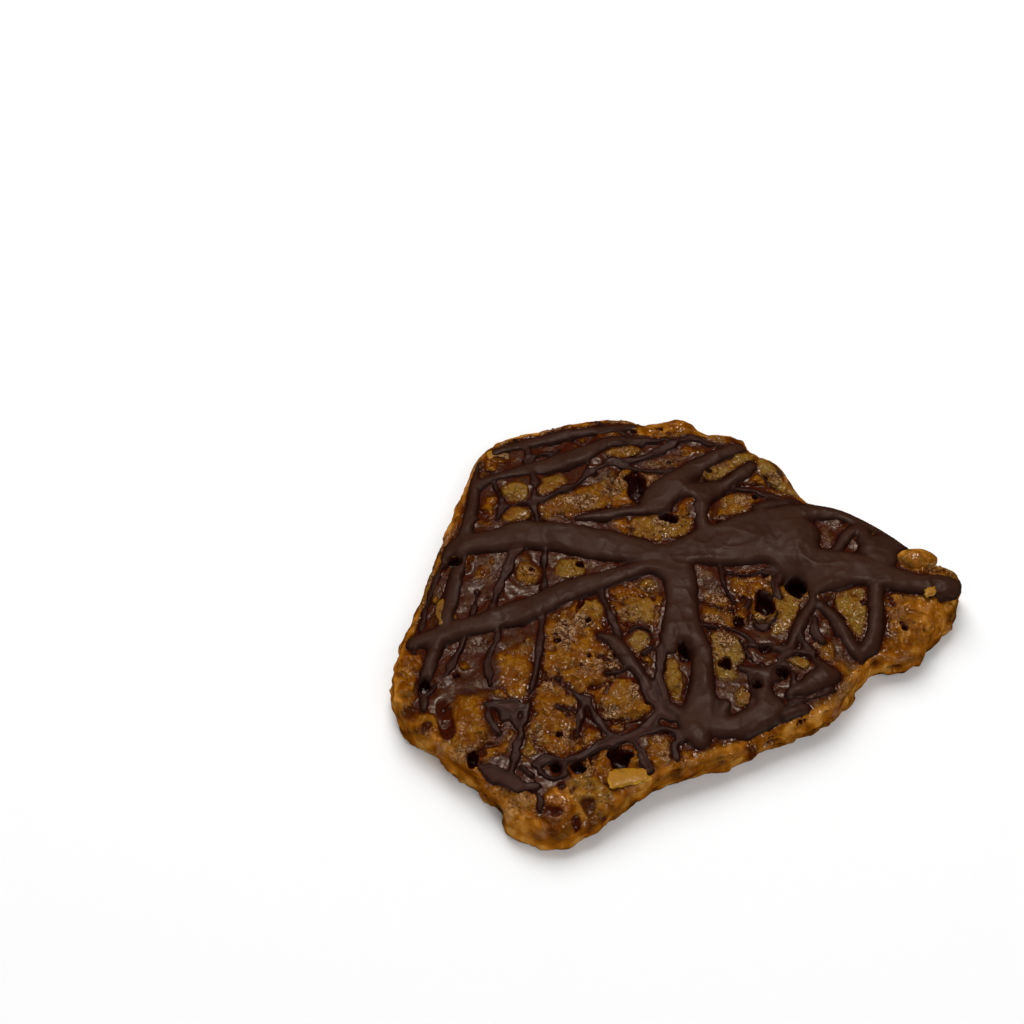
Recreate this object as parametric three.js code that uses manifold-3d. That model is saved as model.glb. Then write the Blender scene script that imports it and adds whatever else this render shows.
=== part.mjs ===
// Florentine cookie: one hand-cut piece of caramel and flaked almonds with chocolate drizzled over it.
// Millimetres, +Z up. It rests on z = 0 with the middle of its bounding box above the origin.
import * as THREE from "three";
import { mergeVertices } from "three/addons/utils/BufferGeometryUtils.js";
import Module from "manifold-3d";

const PIECE_WIDTH = 75.8; // along X
const PIECE_DEPTH = 68.3; // along Y
const SLAB_MIDDLE = 5.5; // caramel slab, thickness in the middle
const SLAB_EDGE = 4.7; // the same at the cut edge
const EDGE_FALLOFF = 9; // how far in from the edge the slab thins
const EDGE_ROLL = 1.2; // radius of the rounded upper rim
const ROLL_DROP = 0.62; // how far the rim drops, as a share of that radius
const NUB_ROLL = 4.4; // the same where the caramel ran into a soft nub
const NUB_REACH = 6; // how far round the nub this softness spreads
const FOOT_BEVEL = 0.45; // inward step of the lowest rim
const SIDE_RAG = 0.34; // how rough the cut sides are
const RIM_RAG = 0.22; // how rough the outline is
const GRID_LONG = 34; // cells of the upper surface along the long sides
const GRID_SHORT = 22; // and along the short ones
const SIDE_LEVELS = [0, 0.12, 0.42, 0.75, 1]; // rows of the cut side, as shares of its height
const WELD = 1e-4; // points nearer than this are one point

const SWELLS = 26; // broad swells of the upper surface
const SWELL_HEIGHT = 0.5;
const SWELL_RADIUS = 5.5;
const LUMPS = 170; // caramel crags between them
const LUMP_HEIGHT = 0.95;
const LUMP_RADIUS = 1.9;
const BUMP_LEAST = -0.8; // height of the deepest hollow, as a share of the tallest swell or crag
const BUMP_SPREAD = [0.6, 1.4]; // radius of a swell or crag, as a share of the usual one
const BUMP_REACH = 3; // radii from its middle at which a swell or crag has died away

const FLAKES = 20; // almond flakes scattered at random
const FLAKE_LENGTH = 6.4;
const FLAKE_WIDTH = 4.1;
const FLAKE_THICKNESS = 1.1;
const FLAKE_SIZES = [0.65, 1.15]; // size of a scattered flake, as a share of the usual one
const FLAKE_FLAT = 0.84; // flat part of a flake, as a share of its half width
const FLAKE_TAPER = 0.3; // how much narrower its pointed end is
const FLAKE_TILT = 0.2; // radians, the most that a flake leans
const FLAKE_SEGMENTS = 9;
const FLAKE_LIFT = 0.05; // how far the middle of a flake lies above the slab
const FLAKE_MARGIN = 2.8; // the least distance from a flake's middle to the outline

const DRIZZLE_RISE = 0.24; // height of a strand, as a share of its width
const DRIZZLE_LEAST = 0.4;
const DRIZZLE_MOST = 1.0;
const DRIZZLE_ROOT = 1.1; // how far a strand reaches down into the slab
const DRIZZLE_STEP = 3.6; // spacing of the sections along a strand
const DRIZZLE_FACETS = 4; // facets over the rounded back of a strand
const DRIZZLE_SIDE = 0.2; // height at which that back starts above the slab
const ROOT_WIDTH = 0.8; // width of a strand inside the slab, as a share of its width
const END_ANGLES = [80, 50, 25]; // degrees round the half circle that closes a strand, from its tip inwards
const FEWEST_STEPS = 3; // sections along the shortest strand
const SMALLEST_STEP = 0.1; // facets that change the surface less than this are merged
const SEED = 417;
const CARAMEL_COLOUR = 0x9a6424;
const CARAMEL_ROUGHNESS = 0.35;

// The outline anticlockwise in four runs, each from one corner to the next: [x, y].
const RIGHT_TO_BACK = [
  [37.9, 4.0], [36.8, 6.6], [34.2, 8.4], [31.9, 10.3], [27.8, 13.1], [21.9, 16.8], [18.9, 17.7],
  [16.7, 21.9], [15.0, 25.1], [11.2, 27.3], [10.4, 29.2], [7.0, 30.6], [5.1, 31.0], [3.7, 33.2], [1.2, 34.2],
];
const BACK_TO_LEFT = [
  [1.2, 34.2], [-2.8, 32.8], [-7.2, 33.9], [-15.0, 32.2], [-23.6, 29.6], [-27.2, 26.2],
  [-29.4, 19.4], [-33.2, 5.6], [-36.2, -4.4], [-37.9, -12.0],
];
const LEFT_TO_FRONT = [
  [-37.9, -12.0], [-36.5, -17.5], [-34.4, -19.9], [-31.9, -21.7], [-29.5, -24.1],
  [-27.4, -25.6], [-25.9, -27.5], [-24.1, -29.3], [-22.6, -32.0], [-19.0, -34.1],
];
const FRONT_TO_RIGHT = [
  [-19.0, -34.1], [-15.9, -33.7], [-12.5, -31.9], [-10.0, -30.3], [-6.1, -27.1], [1.7, -24.0], [6.8, -21.9],
  [11.8, -19.5], [16.9, -17.1], [19.1, -15.4], [22.6, -10.8], [24.5, -8.8], [27.7, -8.2], [31.6, -6.5],
  [32.7, -4.5], [35.6, -1.4], [37.9, 4.0],
];
// Soft caramel nubs on the outline: [x, y, softness].
const NUBS = [
  [-19.0, -33.0, 1.0],
  [34.0, -2.5, 0.75],
  [33.0, 9.0, 0.5],
  [1.0, 33.5, 0.4],
];

// Almond flakes that lie open between the strands: [x, y, length, width, turn in degrees].
const OPEN_FLAKES = [
  [-8.4, -27.2, 6.2, 3.4, 8],
  [22.4, -2.6, 8.6, 4.6, 72],
  [4.9, -9.3, 6.4, 4.4, 80],
  [-1.7, -12.6, 5.8, 2.8, 84],
  [-2.2, 13.0, 8.4, 3.4, 4],
  [-10.4, -17.6, 6.0, 3.6, 20],
  [-22.0, 18.8, 3.6, 2.8, 12],
  [-22.3, 14.8, 4.8, 3.2, -25],
  [-16.4, 18.6, 4.4, 3.0, 35],
  [14.0, -3.4, 5.6, 3.4, 60],
  [12.6, 22.6, 4.4, 2.8, -10],
  [-14.2, 4.8, 4.6, 3.0, 5],
];

// Round and oval pits left by bubbles: [x, y, radius along X, radius along Y, depth].
const PITS = [
  [15.4, 2.2, 1.5, 1.6, 2.9],
  [10.9, -0.9, 1.1, 1.4, 2.2],
  [-0.8, 14.0, 1.2, 0.8, 2.3],
  [-9.3, -24.8, 1.3, 1.1, 2.6],
  [-14.3, -25.6, 1.0, 0.8, 2.2],
  [-17.0, -25.3, 0.8, 0.7, 1.8],
  [-5.4, 19.4, 1.1, 1.9, 2.0],
  [5.0, -10.2, 0.8, 0.8, 1.7],
  [-17.6, -31.0, 0.9, 0.7, 1.6],
  [-27.2, -24.0, 0.8, 1.2, 1.9],
  [12.2, -11.8, 0.9, 0.8, 1.8],
];
const PIT_TOP = 9; // above everything on the piece
const PIT_SEGMENTS = 10;
const PIT_FLARE = 1.3; // width of the open mouth, as a share of the pit's
// The wall of a pit from its floor up: [share of its radius, share of its depth].
const PIT_WALL = [[0.6, 0.1], [0.95, 0.45], [1, 0.8]];

// Chocolate strands by their middle line: [x, y, width] from one end to the other.
const DRIZZLE = {
  main_band: [[-24, 10.6, 2.6], [-18, 11, 4.7], [-10, 9.4, 5.2], [-2.5, 7.6, 4], [3, 8.6, 5.4], [8, 9.8, 7.6],
    [14, 9.4, 9.2], [19, 5, 8.6], [25.5, 5.6, 5.4], [31.5, 2.8, 3.6], [35, 1.5, 4.4]],
  back_edge_band: [[9, 12.6, 2.6], [15, 14.2, 3.4], [22, 14.6, 2.6], [25, 12, 2.6], [28, 9.4, 4],
    [31, 9.2, 1.6]],
  second_band: [[-27, -2.8, 3], [-21.5, -1.8, 4], [-16, 1.2, 3.6], [-7.4, 4.2, 2.8], [-1, 5, 3.2]],
  middle_band: [[-0.8, 6.6, 4.2], [0, 2, 4.6], [-0.3, -4, 4.6], [1.7, -8.5, 3.2], [1.8, -13.5, 3.4],
    [0.8, -18, 4.2], [0.9, -21.8, 3]],
  upper_band: [[10.4, 27.6, 1.8], [4.6, 24, 2.8], [-0.4, 19.4, 4.6], [-2.6, 16.8, 4.2], [-6.5, 15, 1.5],
    [-10.6, 13, 1.4]],
  upper_branch: [[11.3, 23.2, 1.9], [7.4, 20.2, 2.4], [3.8, 18.4, 3.4], [3.7, 14, 2.2], [4, 10.6, 2.4]],
  upper_left: [[-24.6, 21.2, 1.8], [-18, 22.9, 2], [-12.4, 25.6, 2.9], [-8, 27.6, 1.3], [-3.6, 28.2, 1.2]],
  upper_thread: [[-18.4, 17.3, 1], [-11.6, 21.8, 1.1], [-8, 24.4, 1], [-1, 26.6, 1.3], [3.4, 28.9, 1.3],
    [7.4, 27.2, 1.1]],
  right_cross: [[26.4, 4, 2.2], [26, -1, 2.2], [24.9, -7.4, 2.3], [22.4, -9, 2], [20.4, -5.4, 2.2],
    [18.4, -1, 2]],
  right_web: [[17.6, -0.4, 2.2], [14.6, -4.9, 1.9], [12, -7.4, 1.7], [8, -6.8, 1.2]],
  right_pool: [[17, -10.2, 1.8], [17, -13.6, 4.4], [14, -14.2, 3.6], [12.6, -18.4, 2.2]],
  front_pool: [[9.4, -11.2, 2.2], [8.2, -15, 1.6], [7.6, -19.2, 1.9], [4.2, -21, 2.2]],
  left_thread: [[-18.6, -2.4, 1.1], [-19.2, -9.4, 1.1], [-20.6, -16.6, 1], [-21.8, -23, 1.2],
    [-23, -27.6, 1.2]],
  slant: [[-11.4, -6.4, 1.6], [-8.6, -8.8, 2.5], [-5.2, -14.8, 1.5], [-1.6, -18.5, 1.8]],
  low_thread: [[-4.6, -17, 1.2], [-9.4, -21.3, 1.3], [-13.6, -24, 1.1], [-17.6, -24.6, 1.4],
    [-19.8, -26.6, 1.4]],
  tail: [[-8.4, -21.6, 1.3], [-6.6, -24.2, 1.2], [-5.6, -26.2, 0.9]],
  left_pool: [[-25.4, -25.8, 2.2], [-23.2, -26.8, 3], [-20.8, -28.4, 2.2], [-18.6, -27.6, 1.4]],
  drip_pool: [[-25.4, -17.3, 1.9], [-20.8, -16.5, 1.7]],
  left_branch: [[-21, 9.8, 1.9], [-22.5, 7, 1.6], [-23.2, 3.2, 0.9]],
};

const random = seededRandom(SEED);
const wasm = await Module();
wasm.setup();

const outline = raggedOutline();
const swells = scatteredBumps(SWELLS, SWELL_HEIGHT, SWELL_RADIUS);
const lumps = scatteredBumps(LUMPS, LUMP_HEIGHT, LUMP_RADIUS);

const part = new THREE.Group();
part.name = "florentine_cookie";
part.add(florentine());
export default part;

// Repeatable numbers from 0 up to 1.
function seededRandom(seed) {
  let state = seed;
  return () => {
    state = (state + 0x6d2b79f5) | 0;
    let t = Math.imul(state ^ (state >>> 15), 1 | state);
    t = (t + Math.imul(t ^ (t >>> 7), 61 | t)) ^ t;
    return ((t ^ (t >>> 14)) >>> 0) / 4294967296;
  };
}

function between(low, high) {
  return low + (high - low) * random();
}

// A run of outline corners as evenly spaced points, softened a little and roughened across its own line.
function raggedRun(corners, cells) {
  const points = corners.map(([x, y]) => new THREE.Vector3(x, y, 0));
  const curve = new THREE.CatmullRomCurve3(points, false, "centripetal");
  return curve.getSpacedPoints(cells).map((point, i) => {
    const inner = i > 0 && i < cells ? 1 : 0;
    const tangent = curve.getTangentAt(i / cells);
    const push = inner * between(-RIM_RAG, RIM_RAG);
    return new THREE.Vector2(point.x + tangent.y * push, point.y - tangent.x * push);
  });
}

// The four sides of the outline, each as the points of one side of the surface grid.
function raggedOutline() {
  const runs = [
    raggedRun(FRONT_TO_RIGHT, GRID_LONG),
    raggedRun(RIGHT_TO_BACK, GRID_SHORT),
    raggedRun(BACK_TO_LEFT, GRID_LONG),
    raggedRun(LEFT_TO_FRONT, GRID_SHORT),
  ];
  const ring = runs.flatMap((run) => run.slice(0, -1));
  return { runs, ring };
}

// Distance from a point to the outline.
function edgeDistance(x, y) {
  let nearest = Infinity;
  outline.ring.forEach((a, i) => {
    const b = outline.ring[(i + 1) % outline.ring.length];
    const length2 = a.distanceToSquared(b);
    const along = ((x - a.x) * (b.x - a.x) + (y - a.y) * (b.y - a.y)) / length2;
    const t = Math.min(1, Math.max(0, along));
    nearest = Math.min(nearest, Math.hypot(x - a.x - t * (b.x - a.x), y - a.y - t * (b.y - a.y)));
  });
  return nearest;
}

// Bumps and hollows of random place, height and radius.
function scatteredBumps(count, height, radius) {
  return Array.from({ length: count }, () => ({
    x: between(-PIECE_WIDTH / 2, PIECE_WIDTH / 2),
    y: between(-PIECE_DEPTH / 2, PIECE_DEPTH / 2),
    height: between(BUMP_LEAST, 1) * height,
    radius: between(...BUMP_SPREAD) * radius,
  }));
}

function bumpHeight(bumps, x, y) {
  return bumps.reduce((sum, b) => {
    const away2 = ((x - b.x) ** 2 + (y - b.y) ** 2) / b.radius ** 2;
    return away2 > BUMP_REACH ** 2 ? sum : sum + b.height * Math.exp(-away2);
  }, 0);
}

// Radius of the rounded rim near a point: soft at the nubs, crisp elsewhere.
function rollRadius(x, y) {
  const softness = NUBS.reduce((most, [nx, ny, soft]) => {
    const near = Math.exp(-((x - nx) ** 2 + (y - ny) ** 2) / NUB_REACH ** 2);
    return Math.max(most, soft * near);
  }, 0);
  return EDGE_ROLL + (NUB_ROLL - EDGE_ROLL) * softness;
}

// Height of the slab's upper surface without its crags; the strands are laid on this.
function slabHeight(x, y) {
  const inward = edgeDistance(x, y);
  const fall = Math.exp(-inward / EDGE_FALLOFF);
  const plain = SLAB_MIDDLE + (SLAB_EDGE - SLAB_MIDDLE) * fall + bumpHeight(swells, x, y);
  const roll = rollRadius(x, y);
  const short = Math.max(0, 1 - inward / roll);
  return plain - ROLL_DROP * roll * (1 - Math.sqrt(1 - short * short));
}

function cragHeight(x, y) {
  return slabHeight(x, y) + bumpHeight(lumps, x, y) * Math.min(1, edgeDistance(x, y) / EDGE_ROLL);
}

// A manifold solid of a closed geometry.
function solidOf(geometry) {
  const bare = geometry.clone();
  bare.deleteAttribute("normal");
  bare.deleteAttribute("uv");
  const merged = mergeVertices(bare, WELD);
  return new wasm.Manifold(
    new wasm.Mesh({
      numProp: 3,
      vertProperties: merged.attributes.position.array,
      triVerts: new Uint32Array(merged.index.array),
    }),
  );
}

function geometryOf(points, triangles) {
  const geometry = new THREE.BufferGeometry();
  geometry.setAttribute("position", new THREE.Float32BufferAttribute(points.flat(), 3));
  geometry.setIndex(triangles);
  return geometry;
}

// Two triangles for each cell between two rows of point numbers.
function strip(lower, upper, closed) {
  const cells = closed ? lower.length : lower.length - 1;
  const triangles = [];
  for (let i = 0; i < cells; i++) {
    const j = (i + 1) % lower.length;
    triangles.push(lower[i], lower[j], upper[j], lower[i], upper[j], upper[i]);
  }
  return triangles;
}

// Plan position inside the outline for a share u of the long way and v of the short way.
// The four sides are blended, so the grid follows every nick of the outline.
function blendedPlace(i, j) {
  const [front, right, back, left] = outline.runs;
  const u = i / GRID_LONG;
  const v = j / GRID_SHORT;
  const low = front[i];
  const high = back[GRID_LONG - i];
  const near = left[GRID_SHORT - j];
  const far = right[j];
  const across = (key) =>
    (1 - v) * low[key] + v * high[key] + (1 - u) * near[key] + u * far[key] -
    (1 - u) * (1 - v) * front[0][key] - u * (1 - v) * front[GRID_LONG][key] -
    u * v * back[0][key] - (1 - u) * v * back[GRID_LONG][key];
  return [across("x"), across("y")];
}

// The caramel slab: craggy top, ragged cut side, flat base.
function slab() {
  const points = [];
  const rows = [];
  for (let j = 0; j <= GRID_SHORT; j++) {
    rows.push([]);
    for (let i = 0; i <= GRID_LONG; i++) {
      const [x, y] = blendedPlace(i, j);
      rows[j].push(points.length);
      points.push([x, y, cragHeight(x, y)]);
    }
  }
  const triangles = rows.slice(1).flatMap((row, j) => strip(rows[j], row, false));

  const rim = [
    ...rows[0].slice(0, -1),
    ...rows.slice(0, -1).map((row) => row[GRID_LONG]),
    ...rows[GRID_SHORT].slice(1).reverse(),
    ...rows.slice(1).map((row) => row[0]).reverse(),
  ];
  const outward = rim.map((_, i) => {
    const before = outline.ring[(i + rim.length - 1) % rim.length];
    const after = outline.ring[(i + 1) % rim.length];
    return new THREE.Vector2(after.y - before.y, before.x - after.x).normalize();
  });
  let above = rim;
  for (const level of SIDE_LEVELS.slice(0, -1).reverse()) {
    const ring = rim.map((top, i) => {
      const [x, y, height] = points[top];
      const push = level === 0 ? -FOOT_BEVEL : between(-SIDE_RAG, SIDE_RAG);
      points.push([x + outward[i].x * push, y + outward[i].y * push, height * level]);
      return points.length - 1;
    });
    triangles.push(...strip(ring, above, true));
    above = ring;
  }
  const foot = above.map((n) => new THREE.Vector2(points[n][0], points[n][1]));
  for (const [a, b, c] of THREE.ShapeUtils.triangulateShape(foot, [])) {
    triangles.push(above[a], above[c], above[b]);
  }
  return solidOf(geometryOf(points, triangles));
}

// One almond flake: a thin plate, blunt at one end and drawn to a point at the other.
function flake(x, y, length, width, turn, leanX, leanY) {
  const half = FLAKE_THICKNESS / 2;
  const profile = [[0, -half], [FLAKE_FLAT, -half], [1, 0], [FLAKE_FLAT, half], [0, half]];
  const plate = new THREE.LatheGeometry(
    profile.map(([radius, height]) => new THREE.Vector2(radius, height)),
    FLAKE_SEGMENTS,
  );
  plate.rotateX(Math.PI / 2);
  const place = plate.attributes.position;
  for (let i = 0; i < place.count; i++) {
    const along = place.getX(i);
    const taper = 1 - FLAKE_TAPER * Math.max(0, along);
    place.setXYZ(i, (along * length) / 2, (place.getY(i) * taper * width) / 2, place.getZ(i));
  }
  plate.rotateX(leanX);
  plate.rotateY(leanY);
  plate.rotateZ(turn);
  plate.translate(x, y, slabHeight(x, y) + FLAKE_LIFT);
  return solidOf(plate);
}

function flakes() {
  const lean = () => between(-FLAKE_TILT, FLAKE_TILT);
  const open = OPEN_FLAKES.map(([x, y, length, width, degrees]) =>
    flake(x, y, length, width, THREE.MathUtils.degToRad(degrees), lean(), lean()));
  const scattered = [];
  while (scattered.length < FLAKES) {
    const x = between(-PIECE_WIDTH / 2, PIECE_WIDTH / 2);
    const y = between(-PIECE_DEPTH / 2, PIECE_DEPTH / 2);
    if (!insideOutline(x, y) || edgeDistance(x, y) < FLAKE_MARGIN) continue;
    const size = between(...FLAKE_SIZES);
    const turn = between(0, 2 * Math.PI);
    scattered.push(flake(x, y, FLAKE_LENGTH * size, FLAKE_WIDTH * size, turn, lean(), lean()));
  }
  return [...open, ...scattered];
}

function insideOutline(x, y) {
  let inside = false;
  outline.ring.forEach((a, i) => {
    const b = outline.ring[(i + 1) % outline.ring.length];
    const crosses = a.y > y !== b.y > y && x < a.x + ((y - a.y) * (b.x - a.x)) / (b.y - a.y);
    if (crosses) inside = !inside;
  });
  return inside;
}

// One chocolate strand: a rounded back swept along its middle line, draped on the slab and rooted in it.
function strand(corners) {
  const curve = new THREE.CatmullRomCurve3(
    corners.map(([x, y, width]) => new THREE.Vector3(x, y, width)), false, "centripetal");
  const steps = Math.max(FEWEST_STEPS, Math.round(curve.getLength() / DRIZZLE_STEP));
  const stations = [];
  for (let k = 0; k <= steps; k++) {
    const { x, y, z: width } = curve.getPointAt(k / steps);
    const tangent = curve.getTangentAt(k / steps);
    const ahead = new THREE.Vector2(tangent.x, tangent.y).normalize();
    stations.push({ x, y, width, ahead });
  }
  const ending = roundedEnd(stations[steps], 1).reverse();
  const sections = [...roundedEnd(stations[0], -1), ...stations, ...ending];

  const points = [];
  const rings = sections.map((s) => strandSection(s).map((point) => points.push(point) - 1));
  const triangles = rings.slice(1).flatMap((ring, k) => strip(rings[k], ring, true));
  const last = rings[rings.length - 1];
  for (let i = 1; i < last.length - 1; i++) {
    triangles.push(rings[0][0], rings[0][i + 1], rings[0][i]);
    triangles.push(last[0], last[i], last[i + 1]);
  }
  const made = solidOf(geometryOf(points, triangles));
  if (made.volume() <= 0) throw new Error("a strand is inside out");
  return made;
}

// Stations past the end of a strand, narrowing along a half circle, from the tip inwards.
function roundedEnd(station, side) {
  return END_ANGLES.map((degrees) => {
    const angle = THREE.MathUtils.degToRad(degrees);
    const reach = (side * Math.sin(angle) * station.width) / 2;
    return {
      x: station.x + station.ahead.x * reach,
      y: station.y + station.ahead.y * reach,
      width: station.width * Math.cos(angle),
      full: station.width,
      ahead: station.ahead,
    };
  });
}

// The closed ring of points across a strand at one station.
function strandSection({ x, y, width, full = width, ahead }) {
  const whole = THREE.MathUtils.clamp(DRIZZLE_RISE * full, DRIZZLE_LEAST, DRIZZLE_MOST);
  const rise = whole * Math.sqrt(width / full);
  const at = (side, lift) => {
    const px = x - (ahead.y * side * width) / 2;
    const py = y + (ahead.x * side * width) / 2;
    return [px, py, slabHeight(px, py) + lift];
  };
  const back = [];
  for (let k = 0; k <= DRIZZLE_FACETS; k++) {
    const angle = (Math.PI * k) / DRIZZLE_FACETS;
    back.push(at(Math.cos(angle), DRIZZLE_SIDE + rise * Math.sin(angle)));
  }
  return [...back, at(-ROOT_WIDTH, -DRIZZLE_ROOT), at(ROOT_WIDTH, -DRIZZLE_ROOT)];
}

// The space of one bubble pit, open upwards.
function pit([x, y, radiusX, radiusY, depth]) {
  const floor = slabHeight(x, y) - depth;
  const wall = PIT_WALL.map(([radius, height]) => [radius, floor + height * depth]);
  const mouth = floor + depth + 1;
  const profile = [[0, floor], ...wall, [PIT_FLARE, mouth], [PIT_FLARE, PIT_TOP], [0, PIT_TOP]];
  const bore = new THREE.LatheGeometry(profile.map(([r, z]) => new THREE.Vector2(r, z)), PIT_SEGMENTS);
  bore.rotateX(Math.PI / 2);
  bore.scale(radiusX, radiusY, 1);
  bore.translate(x, y, 0);
  return solidOf(bore);
}

function florentine() {
  const strands = Object.values(DRIZZLE).map(strand);
  const raised = wasm.Manifold.union([slab(), ...flakes(), ...strands]);
  const solid = raised.subtract(wasm.Manifold.union(PITS.map(pit))).simplify(SMALLEST_STEP);
  const mesh = solid.getMesh();
  const geometry = new THREE.BufferGeometry();
  geometry.setAttribute("position", new THREE.BufferAttribute(mesh.vertProperties, 3));
  geometry.setIndex(new THREE.BufferAttribute(mesh.triVerts, 1));
  geometry.computeBoundingBox();
  const middle = geometry.boundingBox.getCenter(new THREE.Vector3());
  geometry.translate(-middle.x, -middle.y, 0);
  geometry.computeVertexNormals();
  const caramel = new THREE.MeshStandardMaterial({
    color: CARAMEL_COLOUR, roughness: CARAMEL_ROUGHNESS, metalness: 0, flatShading: true,
  });
  const cookie = new THREE.Mesh(geometry, caramel);
  cookie.name = "florentine";
  return cookie;
}
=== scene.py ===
import functools
import math
from collections import namedtuple

import bpy
import numpy as np
from bpy.props import FloatProperty, FloatVectorProperty, IntProperty, PointerProperty
from bpy.types import Operator, Panel, PropertyGroup
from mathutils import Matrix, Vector


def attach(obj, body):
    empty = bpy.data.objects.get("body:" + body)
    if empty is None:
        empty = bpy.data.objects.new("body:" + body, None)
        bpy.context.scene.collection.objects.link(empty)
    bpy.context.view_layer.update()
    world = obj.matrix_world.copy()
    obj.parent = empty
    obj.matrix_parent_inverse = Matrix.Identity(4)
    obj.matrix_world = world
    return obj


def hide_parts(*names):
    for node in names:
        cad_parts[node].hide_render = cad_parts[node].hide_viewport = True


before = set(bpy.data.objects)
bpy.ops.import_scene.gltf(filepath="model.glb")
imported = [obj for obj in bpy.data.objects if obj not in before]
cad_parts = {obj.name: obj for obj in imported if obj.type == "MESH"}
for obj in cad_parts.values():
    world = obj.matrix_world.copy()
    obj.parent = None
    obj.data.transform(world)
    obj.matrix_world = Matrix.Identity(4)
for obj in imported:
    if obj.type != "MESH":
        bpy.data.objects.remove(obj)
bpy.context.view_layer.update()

bl_info = {
    "name": "Florentine Cookie",
    "version": (1, 0, 0),
    "blender": (4, 5, 0),
    "location": "3D View > Sidebar > Florentine",
    "description": "A cut piece of caramel and flaked almonds with chocolate drizzled over it",
    "category": "Add Mesh",
}

# Shapes are worked out in millimetres and put into the meshes in metres.
MM = 0.001
BODY = "root"
NODE = "florentine"

# ---------------------------------------------------------------- the layout

# The outline in four runs, each with its corners as (x, y).
# Front and back run from left to right, left and right from front to back.
FRONT = [
    (-19.0, -34.1), (-15.9, -33.7), (-12.5, -31.9), (-10.0, -30.3), (-6.1, -27.1), (1.7, -24.0),
    (6.8, -21.9), (11.8, -19.5), (16.9, -17.1), (19.1, -15.4), (22.6, -10.8), (24.5, -8.8),
    (27.7, -8.2), (31.6, -6.5), (32.7, -4.5), (35.6, -1.4), (37.9, 4.0),
]
BACK = [
    (-37.9, -12.0), (-36.2, -4.4), (-33.2, 5.6), (-29.4, 19.4), (-27.2, 26.2), (-23.6, 29.6),
    (-15.0, 32.2), (-7.2, 33.9), (-2.8, 32.8), (1.2, 34.2),
]
LEFT = [
    (-19.0, -34.1), (-22.6, -32.0), (-24.1, -29.3), (-25.9, -27.5), (-27.4, -25.6), (-29.5, -24.1),
    (-31.9, -21.7), (-34.4, -19.9), (-36.5, -17.5), (-37.9, -12.0),
]
RIGHT = [
    (37.9, 4.0), (37.0, 6.0), (35.6, 6.5), (34.3, 7.4), (31.9, 10.0), (27.8, 13.1), (21.9, 16.8),
    (18.9, 17.7), (16.7, 21.9), (15.0, 25.1), (11.2, 27.3), (10.4, 29.2), (7.0, 30.6), (5.1, 31.0),
    (3.7, 33.2), (1.2, 34.2),
]

# Soft caramel nubs on the outline: x, y, softness. It reaches so far round each of them, and
# the rim of a fully soft one is rounded with that radius.
NUBS = [(-19.0, -33.0, 1.0), (34.0, -2.5, 0.75), (33.0, 9.0, 0.5), (1.2, 33.0, 0.6)]
NUB_REACH, NUB_RADIUS = 6.0, 4.4

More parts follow.
